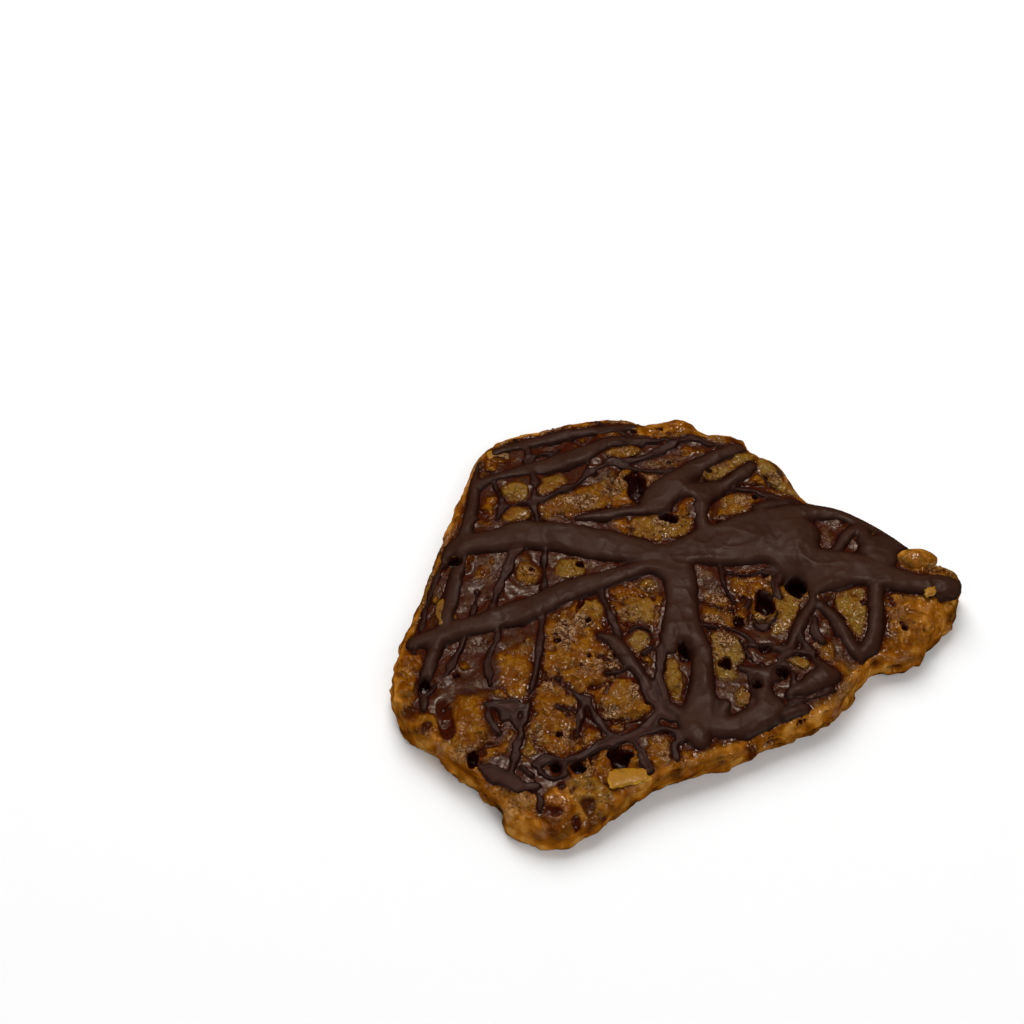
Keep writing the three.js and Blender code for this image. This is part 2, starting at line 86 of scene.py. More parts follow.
# Pieces of almond and pools of caramel that lie open between the strands:
# x, y, length along X, width along Y, turn in degrees, lift, share of almond, share of froth.
PATCHES = {
    "right_almond": (22.6, -1.2, 4.8, 9.8, -8, 0.05, 0.85, 0.10),
    "pitted_almond": (5.1, -9.0, 4.8, 6.8, 12, 0.25, 1.00, 0.70),
    "upper_almond": (-1.6, 12.4, 8.8, 4.4, 6, -0.05, 0.55, 0.70),
    "hole_almond": (13.3, -2.2, 3.6, 6.4, -26, -0.05, 0.75, 0.25),
    "low_almond": (-1.9, -12.6, 2.4, 7.0, 4, 0.10, 0.75, 0.20),
    "amber_pool": (-14.6, -7.0, 8.4, 9.6, -12, 0.15, 0.10, 0.35),
    "amber_slope": (-17.2, -18.4, 5.4, 10.6, 8, -0.05, 0.15, 0.20),
    "flat_flake": (-8.2, -15.6, 5.8, 5.4, 20, 0.00, 0.30, 0.30),
    "yellow_flake": (-22.4, 18.4, 3.8, 3.4, 0, 0.05, 0.80, 0.10),
    "left_flake": (-21.8, 14.6, 5.0, 4.2, -25, 0.05, 0.45, 0.20),
    "upper_flake": (-17.2, 19.6, 4.2, 3.0, 30, 0.05, 0.50, 0.20),
    "upper_pool": (-12.8, 16.9, 11.6, 4.6, 14, 0.00, 0.20, 0.75),
    "back_flake": (-6.8, 26.2, 5.2, 2.6, 12, 0.05, 0.55, 0.30),
    "back_almond": (13.8, 23.4, 4.4, 3.0, -30, 0.25, 0.95, 0.35),
    "back_chip": (15.4, 20.3, 4.8, 2.0, -32, 0.15, 0.95, 0.20),
    "back_pool": (9.2, 16.4, 6.0, 4.6, 10, 0.00, 0.35, 0.60),
    "green_almond": (-6.1, -1.4, 4.2, 4.4, 0, 0.00, 0.65, 0.25),
    "curl_almond": (-5.9, -6.8, 3.0, 5.6, 10, -0.05, 0.80, 0.30),
    "chip": (-14.6, 5.4, 3.6, 3.8, 40, -0.10, 0.75, 0.20),
    "rough_chip": (-20.4, 4.4, 3.6, 3.4, 0, -0.10, 0.35, 0.80),
    "right_end": (30.8, -2.6, 7.8, 9.8, -30, 0.05, 0.20, 0.30),
    "strip_flake": (8.2, 24.0, 9.6, 3.2, 35, 0.10, 0.80, 0.30),
    "tip_rim": (36.4, 5.3, 2.6, 1.6, -55, 0.20, 0.90, 0.70),
    "amber_joint": (-13.4, -12.4, 4.6, 3.2, 10, 0.05, 0.10, 0.50),
    "right_chip": (26.4, 10.6, 4.2, 2.0, 5, -0.15, 0.45, 0.60),
    "front_pool": (-2.0, -25.2, 8.4, 3.6, 22, -0.10, 0.10, 0.60),
    "left_slope": (-27.6, -18.4, 6.4, 6.6, -20, 0.30, 0.05, 0.05),
    "left_glow": (-21.8, -11.6, 4.2, 7.4, 0, -0.05, 0.10, 0.30),
    "middle_froth": (4.6, -2.4, 5.2, 6.2, 0, -0.20, 0.10, 0.95),
    "edge_froth": (8.6, 3.0, 3.8, 3.6, 0, -0.10, 0.15, 0.80),
    "amber_chip": (10.4, 2.6, 3.0, 2.6, 0, 0.05, 0.00, 0.30),
    "low_froth": (-3.4, -21.4, 4.6, 4.4, 0, -0.05, 0.15, 0.80),
    "web_froth": (18.0, -8.0, 2.6, 3.6, 10, -0.10, 0.30, 0.85),
    "web_chip": (14.4, -10.0, 3.2, 1.8, -25, -0.05, 0.70, 0.40),
    "low_chip": (6.8, -15.6, 1.6, 3.4, 0, -0.10, 0.80, 0.30),
    "front_seat": (-8.2, -26.6, 6.8, 3.8, 9, -0.55, 0.10, 0.10),
    "edge_lump": (19.6, -11.4, 2.4, 3.0, 20, 0.00, 0.10, 0.40),
    "back_nub": (1.2, 31.9, 6.4, 2.8, 4, 0.25, 0.05, 0.00),
}

# Bubble pits: x, y, radius along X, radius along Y, depth.
PITS = [
    (15.4, 2.4, 1.5, 1.7, 3.2), (10.9, -0.8, 1.1, 1.5, 2.4), (5.0, -10.4, 0.65, 0.65, 1.8),
    (-0.8, 14.0, 1.2, 0.8, 2.4), (-9.2, -24.3, 1.2, 1.3, 2.7), (-17.0, -25.3, 0.60, 0.55, 1.6),
    (-14.3, -25.5, 0.80, 0.60, 1.8), (-5.2, 19.6, 1.2, 2.4, 2.2), (-0.4, -8.4, 0.7, 1.4, 1.8),
    (-17.2, -31.5, 1.2, 0.7, 0.6), (-13.3, -30.5, 0.9, 1.0, 0.5), (-14.6, -32.5, 0.65, 1.2, 0.6),
    (-27.3, -24.3, 0.7, 1.2, 1.9), (34.9, 6.5, 0.5, 0.8, 0.6), (12.2, -11.7, 0.9, 0.8, 1.9),
    (28.9, -4.2, 0.45, 0.5, 0.9), (8.7, -13.6, 0.6, 0.5, 1.2), (7.1, -3.6, 0.55, 0.8, 1.4),
    (10.2, -8.0, 0.9, 0.6, 1.2), (-33.6, -13.6, 0.8, 1.1, 1.6), (-30.2, 6.4, 1.0, 0.8, 1.8),
    (-31.1, -17.3, 0.85, 2.0, 0.75), (-30.6, -20.0, 0.9, 1.4, 0.75), (-35.5, -17.3, 0.8, 0.8, 0.5),
    (-33.2, -19.5, 0.7, 0.8, 0.6), (-26.2, -23.6, 0.8, 0.6, 0.6),
]

# Where chocolate has run together into a thin film: x, y, half length, half width, amount.
FILMS = [
    (13.0, -12.0, 8.5, 6.5, 0.95), (5.5, -16.5, 6.5, 5.0, 0.85), (9.0, -4.5, 7.5, 5.5, 0.55),
    (17.5, -5.5, 3.5, 6.0, 0.70), (-1.5, -7.5, 3.5, 7.0, 0.45), (20.5, -10.5, 5.0, 3.5, 0.60),
    (-13.5, 5.5, 9.0, 3.6, 0.65), (-24.0, 1.5, 7.0, 5.5, 1.00), (-22.5, -6.0, 5.0, 5.0, 0.80),
    (-31.5, -16.5, 4.5, 5.0, 0.60), (-24.5, -19.5, 3.4, 3.6, 0.45), (-20.0, -26.0, 7.5, 3.2, 0.85),
    (-6.5, -21.0, 6.0, 2.4, 0.60), (-13.5, -17.0, 3.0, 3.6, 0.35), (-8.5, -10.5, 4.0, 5.0, 0.30),
    (-15.0, 22.6, 9.0, 2.6, 0.75), (-19.0, 18.6, 6.0, 4.6, 0.80), (-5.0, 24.8, 8.0, 2.4, 0.55),
    (-7.0, 20.2, 5.0, 2.6, 0.45), (3.0, 26.8, 7.0, 3.6, 0.35), (10.4, 21.6, 4.4, 3.6, 0.25),
    (20.0, 10.0, 6.0, 4.0, 0.60), (-33.0, -2.0, 4.5, 9.0, 0.45), (-22.0, 27.0, 6.0, 4.0, 0.45),
    (-14.0, -7.0, 4.5, 5.0, -0.60), (-17.4, -17.6, 2.8, 5.2, -0.50), (31.0, -2.0, 5.5, 6.5, -0.80),
    (8.0, 3.2, 5.5, 2.4, 0.35), (3.0, -20.5, 8.0, 2.6, 0.60), (-2.5, -26.0, 6.5, 2.6, -0.35),
    (33.0, 8.0, 4.0, 3.0, -0.80), (-31.2, -17.2, 1.5, 3.4, 1.0), (-27.0, -13.0, 4.6, 3.4, 0.90),
    (5.0, 1.6, 4.5, 4.5, 0.60), (-21.0, 14.4, 3.4, 2.6, 0.80), (-14.5, 15.4, 4.6, 1.6, 0.45),
    (-14.0, 19.6, 3.4, 1.6, 0.50), (-16.4, 12.6, 6.0, 2.0, 0.50), (-26.0, -7.6, 4.0, 5.0, 0.50),
    (9.0, 24.6, 5.0, 2.0, -0.50), (17.5, -3.5, 1.8, 3.4, 0.5),
]

# Spots of pale froth in the caramel: x, y, half length, half width, amount.
FROTHS = [
    (-15.6, -5.6, 1.4, 2.7, 1.0), (-9.7, -10.4, 2.0, 2.4, 1.0), (-13.2, -3.6, 1.2, 1.0, 0.9),
    (-10.8, -17.6, 2.6, 1.5, 0.8), (-17.9, -13.3, 0.9, 1.5, 0.8), (-6.3, -14.2, 1.2, 1.8, 0.8),
    (-19.4, -21.0, 0.8, 1.9, 0.7), (-12.8, -11.8, 1.7, 1.0, 0.5), (4.5, 0.4, 2.2, 1.5, 0.9),
    (3.9, -3.7, 1.6, 1.5, 0.9), (8.7, 4.4, 1.2, 1.5, 0.7), (3.0, 4.4, 1.2, 1.5, 0.7),
    (5.4, -6.8, 1.8, 1.8, 0.8), (6.9, -8.8, 0.8, 1.6, 0.5), (16.9, -6.4, 1.0, 2.1, 0.9),
    (18.6, -4.2, 0.9, 1.1, 0.7), (13.3, -9.1, 1.2, 1.1, 0.6), (18.6, -10.1, 1.0, 1.1, 0.6),
    (11.2, 3.7, 1.0, 1.3, 0.6), (16.3, 0.1, 1.6, 1.0, 0.6), (7.4, -3.2, 1.3, 1.6, 0.4),
    (-2.3, 23.0, 2.0, 2.9, 0.8), (-8.8, 18.9, 1.8, 1.0, 0.7), (-13.0, 16.9, 2.9, 1.4, 0.8),
    (-15.9, 15.3, 1.3, 0.8, 0.4), (-1.5, 13.8, 1.8, 1.0, 0.8), (2.0, 14.7, 1.3, 1.3, 0.5),
    (-6.4, 26.8, 2.3, 1.0, 0.5), (-1.5, 25.8, 1.6, 1.0, 0.4), (6.2, 23.9, 1.8, 1.0, 0.5),
    (14.4, 21.5, 1.3, 1.9, 0.6), (9.2, 17.4, 1.3, 1.1, 0.6), (19.5, 11.2, 1.3, 1.1, 0.6),
    (23.5, 10.3, 1.3, 1.0, 0.5), (-7.0, -1.6, 1.6, 1.1, 0.5), (-6.0, -8.8, 1.0, 1.3, 0.5),
    (-0.9, 0.1, 0.7, 1.9, 0.3), (-3.9, -6.4, 0.8, 1.6, 0.5), (-4.4, -8.8, 1.0, 1.0, 0.5),
    (-2.8, -9.6, 0.7, 1.9, 0.4), (-15.3, -21.0, 1.6, 1.3, 0.6), (-13.5, -22.4, 1.0, 0.8, 0.4),
    (-22.1, -22.4, 1.3, 1.0, 0.5), (-19.7, -24.6, 1.6, 0.8, 0.4), (-10.1, -23.1, 1.3, 1.0, 0.5),
    (-3.3, -23.9, 1.3, 1.6, 0.6), (-0.6, -24.6, 1.8, 1.0, 0.5), (-21.5, -19.5, 0.9, 1.1, 0.4),
    (27.2, -1.6, 1.0, 1.0, 0.4), (10.3, -14.2, 1.0, 1.3, 0.5), (6.9, -15.8, 1.0, 1.5, 0.6),
    (8.6, -18.0, 0.8, 1.0, 0.3), (-4.1, -21.0, 1.3, 1.1, 0.6), (-24.1, 6.8, 1.3, 1.3, 0.6),
    (-20.1, 5.1, 1.3, 1.3, 0.6), (-21.5, -6.4, 1.3, 1.9, 0.4), (-23.4, -10.4, 1.3, 1.3, 0.3),
    (1.5, 6.8, 0.8, 0.6, 0.5), (-3.7, 5.9, 1.3, 0.6, 0.4), (4.6, 22.4, 1.2, 1.0, 0.5),
    (31.4, -4.6, 1.6, 1.2, 0.5), (28.2, -1.8, 1.8, 2.2, 0.50), (-22.4, -30.6, 0.9, 1.6, 0.7),
    (-13.0, -33.4, 1.6, 0.8, 0.6), (-16.2, -28.6, 1.4, 1.0, 0.5),
]

# Broad chocolate strokes by their middle line: x, y, width.
BANDS = {
    "main_left": [(-33.0, 8.0, 2.4), (-28.5, 9.2, 3.4), (-24.0, 9.8, 4.6), (-21.4, 10.8, 5.0),
                  (-18.0, 10.9, 5.0), (-14.0, 10.2, 5.3), (-10.0, 9.3, 5.4), (-6.0, 8.3, 4.7),
                  (-2.3, 7.6, 3.9), (1.5, 8.3, 5.0), (5.0, 9.5, 6.7)],
    "main_right": [(3.0, 8.1, 4.6), (7.0, 9.5, 7.7), (11.5, 10.9, 9.0), (15.3, 10.9, 8.8)],
    "main_end": [(15.5, 6.5, 6.4), (18.6, 4.9, 7.8), (22.1, 5.2, 5.8), (25.5, 4.6, 5.0),
                 (28.6, 3.3, 4.0), (31.5, 2.7, 3.4), (33.7, 2.4, 4.0), (34.7, 2.4, 3.6)],
    "back_edge": [(7.9, 12.1, 2.3), (11.5, 13.7, 3.1), (15.0, 14.6, 3.7), (18.7, 15.3, 3.5),
                  (22.3, 15.1, 2.8), (25.2, 13.6, 2.2), (28.4, 11.8, 1.8), (30.8, 10.3, 1.4)],
    "main_low": [(6.6, 7.4, 3.1), (10.2, 7.6, 2.8), (13.9, 7.4, 3.8), (16.5, 6.7, 4.2)],
    "right_back": [(21.5, 8.6, 1.4), (23.5, 11.4, 2.0), (25.2, 12.2, 2.2), (25.8, 9.8, 2.6),
                   (28.0, 9.4, 4.0), (30.3, 9.7, 2.2), (31.4, 9.9, 1.0)],
    "right_fill": [(25.6, 8.6, 2.7), (27.5, 7.2, 4.2), (26.9, 8.6, 3.4)],
    "second": [(-35.6, -6.8, 2.4), (-31.0, -5.4, 3.2), (-26.6, -4.0, 3.4), (-24.1, -3.1, 3.9),
               (-21.5, -2.2, 4.2), (-18.8, -0.8, 4.2), (-16.2, 0.8, 3.8), (-13.5, 2.2, 3.5),
               (-10.5, 3.1, 3.4), (-7.4, 4.3, 2.8), (-4.3, 5.3, 2.6), (-1.6, 5.0, 3.1)],
    "middle_upper": [(-1.0, 6.7, 4.2), (-0.1, 3.5, 4.6), (-0.1, -0.7, 4.7), (-0.6, -4.3, 4.7),
                     (-1.3, -6.6, 3.9), (-2.0, -8.2, 1.8)],
    "middle_lower": [(0.7, -4.6, 3.2), (1.9, -8.0, 3.0), (1.9, -10.6, 3.0), (1.7, -14.2, 3.7),
                     (1.1, -17.2, 4.2), (0.5, -19.6, 4.6), (0.9, -21.6, 3.2)],
    "upper": [(11.1, 27.6, 1.8), (9.6, 27.0, 2.3), (7.2, 25.7, 2.4), (4.6, 24.0, 3.0),
              (2.2, 21.9, 3.4), (-0.5, 19.3, 4.6), (-2.0, 18.0, 5.0), (-2.7, 16.6, 4.4)],
    "upper_branch": [(11.3, 23.4, 1.9), (9.7, 21.9, 2.3), (7.4, 20.2, 2.3), (4.7, 18.8, 3.2),
                     (2.5, 18.8, 2.9), (0.3, 18.8, 3.3)],
    "upper_stem": [(4.1, 18.0, 3.3), (3.8, 15.1, 1.9), (3.7, 12.6, 2.2), (4.1, 10.9, 2.3)],
    "upper_plate": [(-13.4, 13.8, 1.1), (-10.4, 14.3, 1.9), (-7.4, 14.9, 2.0), (-4.2, 15.5, 2.2),
                    (-2.1, 16.0, 3.4)],
    "upper_left": [(-26.8, 20.4, 1.8), (-22.8, 22.1, 2.2), (-20.3, 22.9, 2.7), (-17.1, 23.8, 3.2),
                   (-13.6, 24.9, 3.7), (-10.3, 27.0, 2.8), (-7.1, 28.4, 1.8), (-3.6, 28.4, 1.4)],
    "upper_blot": [(11.7, 15.7, 2.3), (13.1, 16.6, 1.9), (15.6, 17.0, 1.6)],
    "right_cross": [(25.9, 2.6, 2.2), (25.5, -1.2, 2.3), (24.9, -4.6, 2.3), (23.7, -7.8, 2.3),
                    (22.6, -8.9, 1.7)],
    "right_slant": [(18.3, -0.7, 1.7), (19.6, -2.7, 1.9), (20.8, -5.6, 2.1), (21.8, -7.9, 2.1),
                    (22.8, -8.9, 1.7)],
    "hole_ring": [(17.4, 2.6, 1.3), (17.2, -0.2, 1.6), (15.6, -3.2, 1.9), (14.3, -5.8, 1.9),
                  (13.3, -7.8, 1.6), (10.5, -7.6, 1.4), (7.7, -7.3, 1.1)],
    "low_shelf": [(13.0, -14.6, 1.8), (15.0, -13.8, 2.9), (16.9, -12.7, 3.3), (18.6, -12.0, 2.2)],
    "low_web": [(16.3, -9.6, 1.2), (17.4, -10.9, 1.8), (17.6, -12.4, 2.4)],
    "low_plane": [(12.2, -18.3, 1.8), (13.3, -17.7, 2.4), (14.3, -16.9, 2.0)],
    "low_field": [(3.6, -19.8, 3.2), (6.4, -19.3, 4.0), (8.7, -18.2, 3.9), (10.6, -16.8, 2.6)],
    "low_right": [(9.4, -13.2, 2.2), (9.5, -14.8, 2.6), (9.6, -17.0, 3.1), (9.6, -18.8, 2.6)],
    "low_upper": [(6.9, -11.2, 1.5), (7.9, -11.5, 1.9), (9.8, -12.2, 3.1), (12.2, -11.4, 2.2)],
    "low_left": [(4.4, -16.4, 1.6), (3.8, -17.8, 2.2), (3.6, -19.0, 2.8)],
    "fat": [(-11.0, -6.2, 1.5), (-9.6, -6.8, 2.1), (-8.4, -8.2, 2.5), (-7.2, -10.2, 2.4),
            (-6.2, -11.8, 1.9), (-5.2, -13.6, 1.6)],
    "chunk": [(-2.4, -16.7, 1.7), (-1.0, -18.2, 1.9), (-0.3, -19.7, 1.9)],
    "far_left": [(-27.6, 24.4, 1.4), (-28.0, 16.0, 1.9), (-29.6, 6.0, 2.2), (-31.4, -4.0, 2.1),
                 (-33.4, -12.5, 1.8), (-33.6, -17.0, 1.4)],
    "far_back": [(-25.0, 26.6, 1.7), (-19.0, 28.6, 2.3), (-12.0, 30.4, 1.9), (-5.0, 31.4, 1.6)],
}

# The bead in which the main stroke ends: x, y, z, radius, and its depth and height as shares.
BEAD = (34.9, 2.3, 4.7, 2.55, 0.86, 0.50)

# The almond behind it under its own skin of caramel, measured in the same way.
TIP_NUT = (32.1, 7.1, 4.7, 2.9, 0.60, 0.48)

# Thin chocolate threads by their middle line: x, y, width.
THREADS = {
    "left_blot": [(-25.6, -16.7, 1.3), (-24.0, -16.8, 2.1), (-22.2, -17.1, 2.1),
                  (-20.6, -17.0, 1.3)],
    "left_rim": [(-27.6, -24.2, 1.4), (-27.0, -25.4, 1.9), (-25.9, -26.2, 2.4),
                 (-24.5, -26.4, 2.6), (-23.0, -27.4, 2.4), (-21.4, -28.4, 2.0),
                 (-19.4, -28.4, 1.6)],
    "upper_long": [(-24.2, 15.7, 0.8), (-18.5, 17.0, 1.0), (-15.8, 18.6, 1.1), (-13.3, 20.1, 1.1),
                   (-11.6, 21.9, 1.3), (-9.6, 23.4, 1.1), (-8.1, 24.5, 1.0), (-5.6, 24.5, 1.0),
                   (-3.0, 25.5, 1.2), (-0.9, 26.6, 1.4), (1.2, 28.2, 1.6), (3.6, 29.0, 1.4),
                   (6.0, 27.6, 1.1), (7.6, 27.2, 1.0)],
    "upper_fork": [(3.3, 18.4, 1.2), (3.1, 14.8, 1.2)],
    "upper_hook": [(-12.4, 21.4, 0.6), (-11.8, 23.2, 0.6), (-11.2, 25.1, 0.8), (-9.8, 24.9, 0.7)],
    "upper_drop": [(-19.6, 22.3, 0.9), (-19.2, 19.9, 1.2), (-19.5, 16.9, 1.2), (-18.9, 13.4, 1.1)],
    "upper_side": [(-25.0, 20.0, 1.0), (-23.8, 16.6, 1.0), (-24.6, 13.6, 0.9)],
    "upper_edge": [(-20.6, 24.6, 0.9), (-17.8, 26.1, 1.1), (-16.3, 26.6, 0.9), (-14.0, 27.6, 0.7)],
    "back_thread": [(-8.0, 27.6, 1.1), (-3.6, 28.2, 1.2), (0.6, 28.6, 0.9)],
    "back_low": [(-10.4, 24.2, 0.8), (-6.0, 23.2, 1.0), (-2.6, 22.4, 1.0), (0.4, 22.6, 0.9)],
    "right_thread": [(8.7, 19.3, 0.8), (10.9, 19.0, 1.1), (13.9, 17.9, 1.6), (17.1, 17.2, 1.3)],
    "back_rim": [(12.2, 26.5, 0.7), (14.3, 25.0, 0.8), (15.7, 22.4, 0.7)],
    "nick": [(6.1, 4.1, 0.7), (9.0, 4.1, 0.8), (11.5, 4.8, 1.2), (13.6, 5.2, 0.9)],
    "left_branch": [(-21.6, 8.8, 2.0), (-22.6, 6.8, 1.8), (-23.4, 4.4, 1.6), (-24.4, 1.6, 1.4),
                    (-25.0, -1.6, 1.4)],
    "bridge": [(-18.0, 9.0, 0.9), (-18.1, 6.0, 0.8), (-18.2, 2.0, 0.8)],
    "left_long": [(-18.4, -1.6, 1.1), (-18.6, -4.0, 1.1), (-18.8, -6.8, 1.1), (-19.2, -9.5, 1.1),
                  (-19.6, -12.6, 1.0), (-20.1, -15.2, 1.0), (-20.8, -18.4, 1.0),
                  (-21.3, -20.6, 0.9), (-21.9, -23.0, 1.2), (-22.4, -25.4, 1.3),
                  (-22.9, -27.2, 1.2)],
    "left_fold": [(-24.8, -2.6, 1.0), (-24.4, -6.4, 0.9), (-25.6, -10.0, 1.1),
                  (-25.2, -13.6, 0.9)],
    "drip_a": [(-25.4, -16.8, 0.9), (-25.2, -19.1, 1.0), (-24.2, -20.7, 0.8)],
    "drip_b": [(-23.7, -17.0, 0.9), (-23.5, -18.8, 0.8)],
    "drip_c": [(-22.4, -17.2, 1.0), (-21.9, -19.4, 1.2), (-21.2, -21.2, 1.0)],
    "left_edge": [(-26.4, -27.0, 0.9), (-25.1, -28.2, 1.1), (-24.0, -29.4, 1.1)],
    "facet": [(-21.2, -25.7, 1.3), (-20.4, -26.6, 1.4), (-19.6, -27.3, 1.0)],
    "ring": [(-19.8, -25.3, 1.2), (-18.5, -24.4, 1.3), (-17.1, -24.2, 1.2), (-15.9, -25.2, 1.2),
             (-16.2, -26.6, 1.1), (-17.6, -27.1, 1.1), (-19.0, -26.4, 1.1)],
    "link_low": [(-16.2, -24.6, 1.0), (-14.6, -24.2, 1.3), (-12.9, -23.2, 1.2),
                 (-10.9, -21.9, 1.3), (-8.7, -21.2, 1.8), (-6.6, -20.6, 1.7), (-5.0, -18.8, 1.5),
                 (-3.9, -17.0, 1.2), (-3.2, -15.4, 1.0)],
    "nub_drip": [(-20.0, -28.8, 0.8), (-19.2, -29.6, 0.9), (-19.1, -31.2, 0.8)],
    "strand_n": [(-10.5, 2.4, 1.2), (-10.5, 0.6, 1.1), (-9.8, -1.7, 1.2), (-9.2, -4.0, 1.2),
                 (-8.6, -6.1, 1.3), (-8.3, -8.4, 1.1)],
    "strand_s": [(-5.6, -13.0, 1.5), (-5.0, -14.9, 1.4), (-4.2, -16.7, 1.4), (-3.0, -17.9, 1.6),
                 (-1.5, -18.5, 1.7)],
    "fat_twig": [(-7.4, -10.6, 0.9), (-8.8, -11.6, 0.8), (-10.4, -11.9, 0.7)],
    "vee_left": [(-13.0, -15.9, 1.0), (-13.9, -17.8, 1.3), (-14.2, -19.6, 1.2),
                 (-14.3, -21.0, 0.9)],
    "vee_right": [(-12.9, -15.9, 1.0), (-12.0, -18.0, 1.2), (-10.8, -20.0, 1.3),
                  (-9.7, -21.3, 1.2)],
    "vee_arm": [(-16.6, -17.2, 0.7), (-15.2, -17.3, 0.9), (-13.8, -17.4, 0.9)],
    "slip": [(-16.6, -13.0, 0.8), (-15.2, -14.4, 1.0), (-14.1, -15.8, 0.9), (-13.2, -16.4, 0.8)],
    "low_end": [(-7.4, -21.6, 1.7), (-6.6, -23.2, 1.5), (-6.0, -24.8, 1.3), (-5.4, -26.4, 1.0),
                (-5.2, -27.2, 0.7)],
    "low_spur": [(-1.2, -21.0, 1.4), (-2.3, -22.6, 1.2), (-2.2, -24.4, 0.9)],
    "low_bead": [(-5.2, -20.4, 0.8), (-3.6, -19.9, 0.9), (-1.8, -20.4, 0.9)],
    "vert_long": [(-3.0, -6.0, 1.3), (-3.3, -9.5, 1.4), (-3.7, -12.2, 1.2), (-3.2, -14.9, 1.1),
                  (-2.7, -16.6, 1.1)],
    "vert_short": [(-5.5, -11.1, 0.8), (-4.7, -13.4, 0.8), (-4.2, -15.7, 0.8)],
    "loop": [(-7.2, -5.5, 0.9), (-6.4, -4.7, 1.0), (-5.1, -4.9, 1.0), (-4.3, -6.2, 0.9),
             (-4.6, -7.8, 0.8), (-5.6, -8.8, 0.6)],
    "small_ring": [(9.1, 0.0, 0.6), (8.5, -1.7, 0.7), (8.7, -3.4, 0.8), (9.9, -4.5, 0.9),
                   (11.4, -3.9, 0.9), (12.4, -1.7, 0.8), (12.1, 0.3, 0.8), (10.8, 1.2, 0.8)],
    "hole_left": [(13.4, 4.4, 1.4), (12.7, 2.6, 1.3), (12.8, 0.8, 1.2)],
    "web_b": [(14.8, -4.9, 0.9), (15.6, -7.6, 1.1), (16.3, -9.4, 1.1)],
    "web_c": [(16.4, -8.6, 1.1), (14.5, -8.4, 1.2), (13.2, -8.7, 1.2), (11.9, -9.5, 1.0)],
    "web_e": [(17.2, -3.2, 1.4), (16.9, -5.2, 1.3), (17.8, -6.8, 0.9)],
    "low_link": [(13.3, -12.4, 1.0), (13.5, -13.4, 1.1), (13.0, -14.6, 1.2)],
    "loop_pit": [(10.4, -12.2, 1.0), (10.9, -11.0, 0.9), (12.2, -10.6, 0.9), (13.4, -11.6, 1.0),
                 (13.3, -13.2, 1.0)],
    "low_fold": [(11.7, -19.2, 1.2), (11.9, -18.0, 1.3), (12.3, -16.6, 1.3), (13.4, -16.0, 1.1),
                 (15.7, -15.5, 1.0), (18.3, -14.2, 0.8)],
    "low_a": [(7.9, -12.6, 1.2), (8.1, -14.8, 1.3), (7.9, -17.0, 1.4), (7.8, -19.0, 1.5)],
    "small_a": [(7.7, -7.6, 0.9), (8.2, -9.6, 1.0), (9.6, -11.0, 0.8)],
    "small_b": [(2.1, -0.2, 0.8), (4.3, -1.4, 0.9), (6.4, -1.7, 0.8), (8.4, -1.2, 0.8)],
    "small_c": [(2.4, -4.4, 0.8), (5.0, -4.8, 0.9), (7.2, -5.4, 1.0), (8.8, -6.8, 1.1)],
    "small_d": [(5.4, 5.8, 1.0), (5.8, 2.6, 0.9), (6.8, -0.4, 0.8)],
    "far_a": [(-27.6, 13.6, 0.9), (-31.0, 8.0, 1.1), (-33.6, 0.0, 0.9), (-35.0, -8.6, 0.8)],
    "far_b": [(-27.0, 1.0, 0.9), (-28.6, -6.0, 1.1), (-31.0, -12.0, 1.0), (-34.6, -16.0, 0.8)],
    "far_c": [(-22.6, 30.0, 0.8), (-20.4, 26.8, 1.0), (-20.0, 23.4, 0.9)],
    "far_d": [(-10.6, 33.0, 0.8), (-7.4, 30.6, 1.1), (-4.0, 27.8, 1.0)],
}

# Almond flakes that stand a little out of the caramel:
# x, y, length, width, turn, lean along, lean across, lift.
FLAKES = [
    (-8.3, -26.7, 6.0, 3.0, 9, 2, -7, 0.22), (32.9, 1.0, 1.7, 1.4, 25, 0, 4, 0.62),
    (-31.0, -2.0, 4.6, 2.8, 100, 6, 6, -0.10), (-24.0, 26.2, 4.2, 2.6, 30, 4, 6, -0.05),
    (7.2, -15.4, 2.6, 1.6, 80, 6, 8, -0.05),
]

# The lights: place in metres, the setting of their power, their share of it, and their width.
# The soft ones give no gloss, and the small ones give nothing else.
SOFT_LIGHTS = {
    "key_light": ((-0.084, 0.392, 0.574), "key", 1.0, 0.5),
    "fill_light": ((0.14, -0.42, 0.54), "fill", 1.0, 0.5),
}
GLEAM_LIGHTS = {
    "gleam_light": ((0.09, 0.25, 0.66), "gleam", 1.0, 0.12),
    "side_gleam_light": ((-0.34, 0.16, 0.58), "side_gleam", 1.0, 0.10),
    "left_gleam_light": ((-0.46, -0.26, 0.16), "low_gleam", 0.6, 0.14),
    "right_gleam_light": ((0.44, -0.34, 0.22), "low_gleam", 1.0, 0.14),
}
# All of them face this place.
LIGHT_AIM = (0, 0, 0.004)

# The camera: its place in metres, its tilt up from straight down in degrees, and the width of
# its sensor in millimetres.
CAMERA_PLACE, CAMERA_TILT, SENSOR_WIDTH = (-0.02246, -0.13609, 0.1855), 40.0, 36.0
# Half the width of the floor in metres.
FLOOR_HALF = 4.0

# Where the drizzle may come nearer to the rim: x, y, radius along X, radius along Y, by how far.
NEAR_RIM = [(37.0, 2.0, 2.5, 2.5, 0.35), (25.5, 13.5, 6.5, 4.0, 0.50)]

# How sharply broad strokes that meet keep their own borders, and how sharply threads do.
BAND_JOIN, THREAD_JOIN = 3.2, 4.8

# The least height of the caramel, how far it keeps below the skin of the chocolate, how far
# the cut side bulges, and how far its foot is drawn in.
LEAST_HEIGHT, BELOW_CHOCOLATE, SIDE_BULGE, FOOT_IN = 1.1, 0.10, 0.30, 0.5

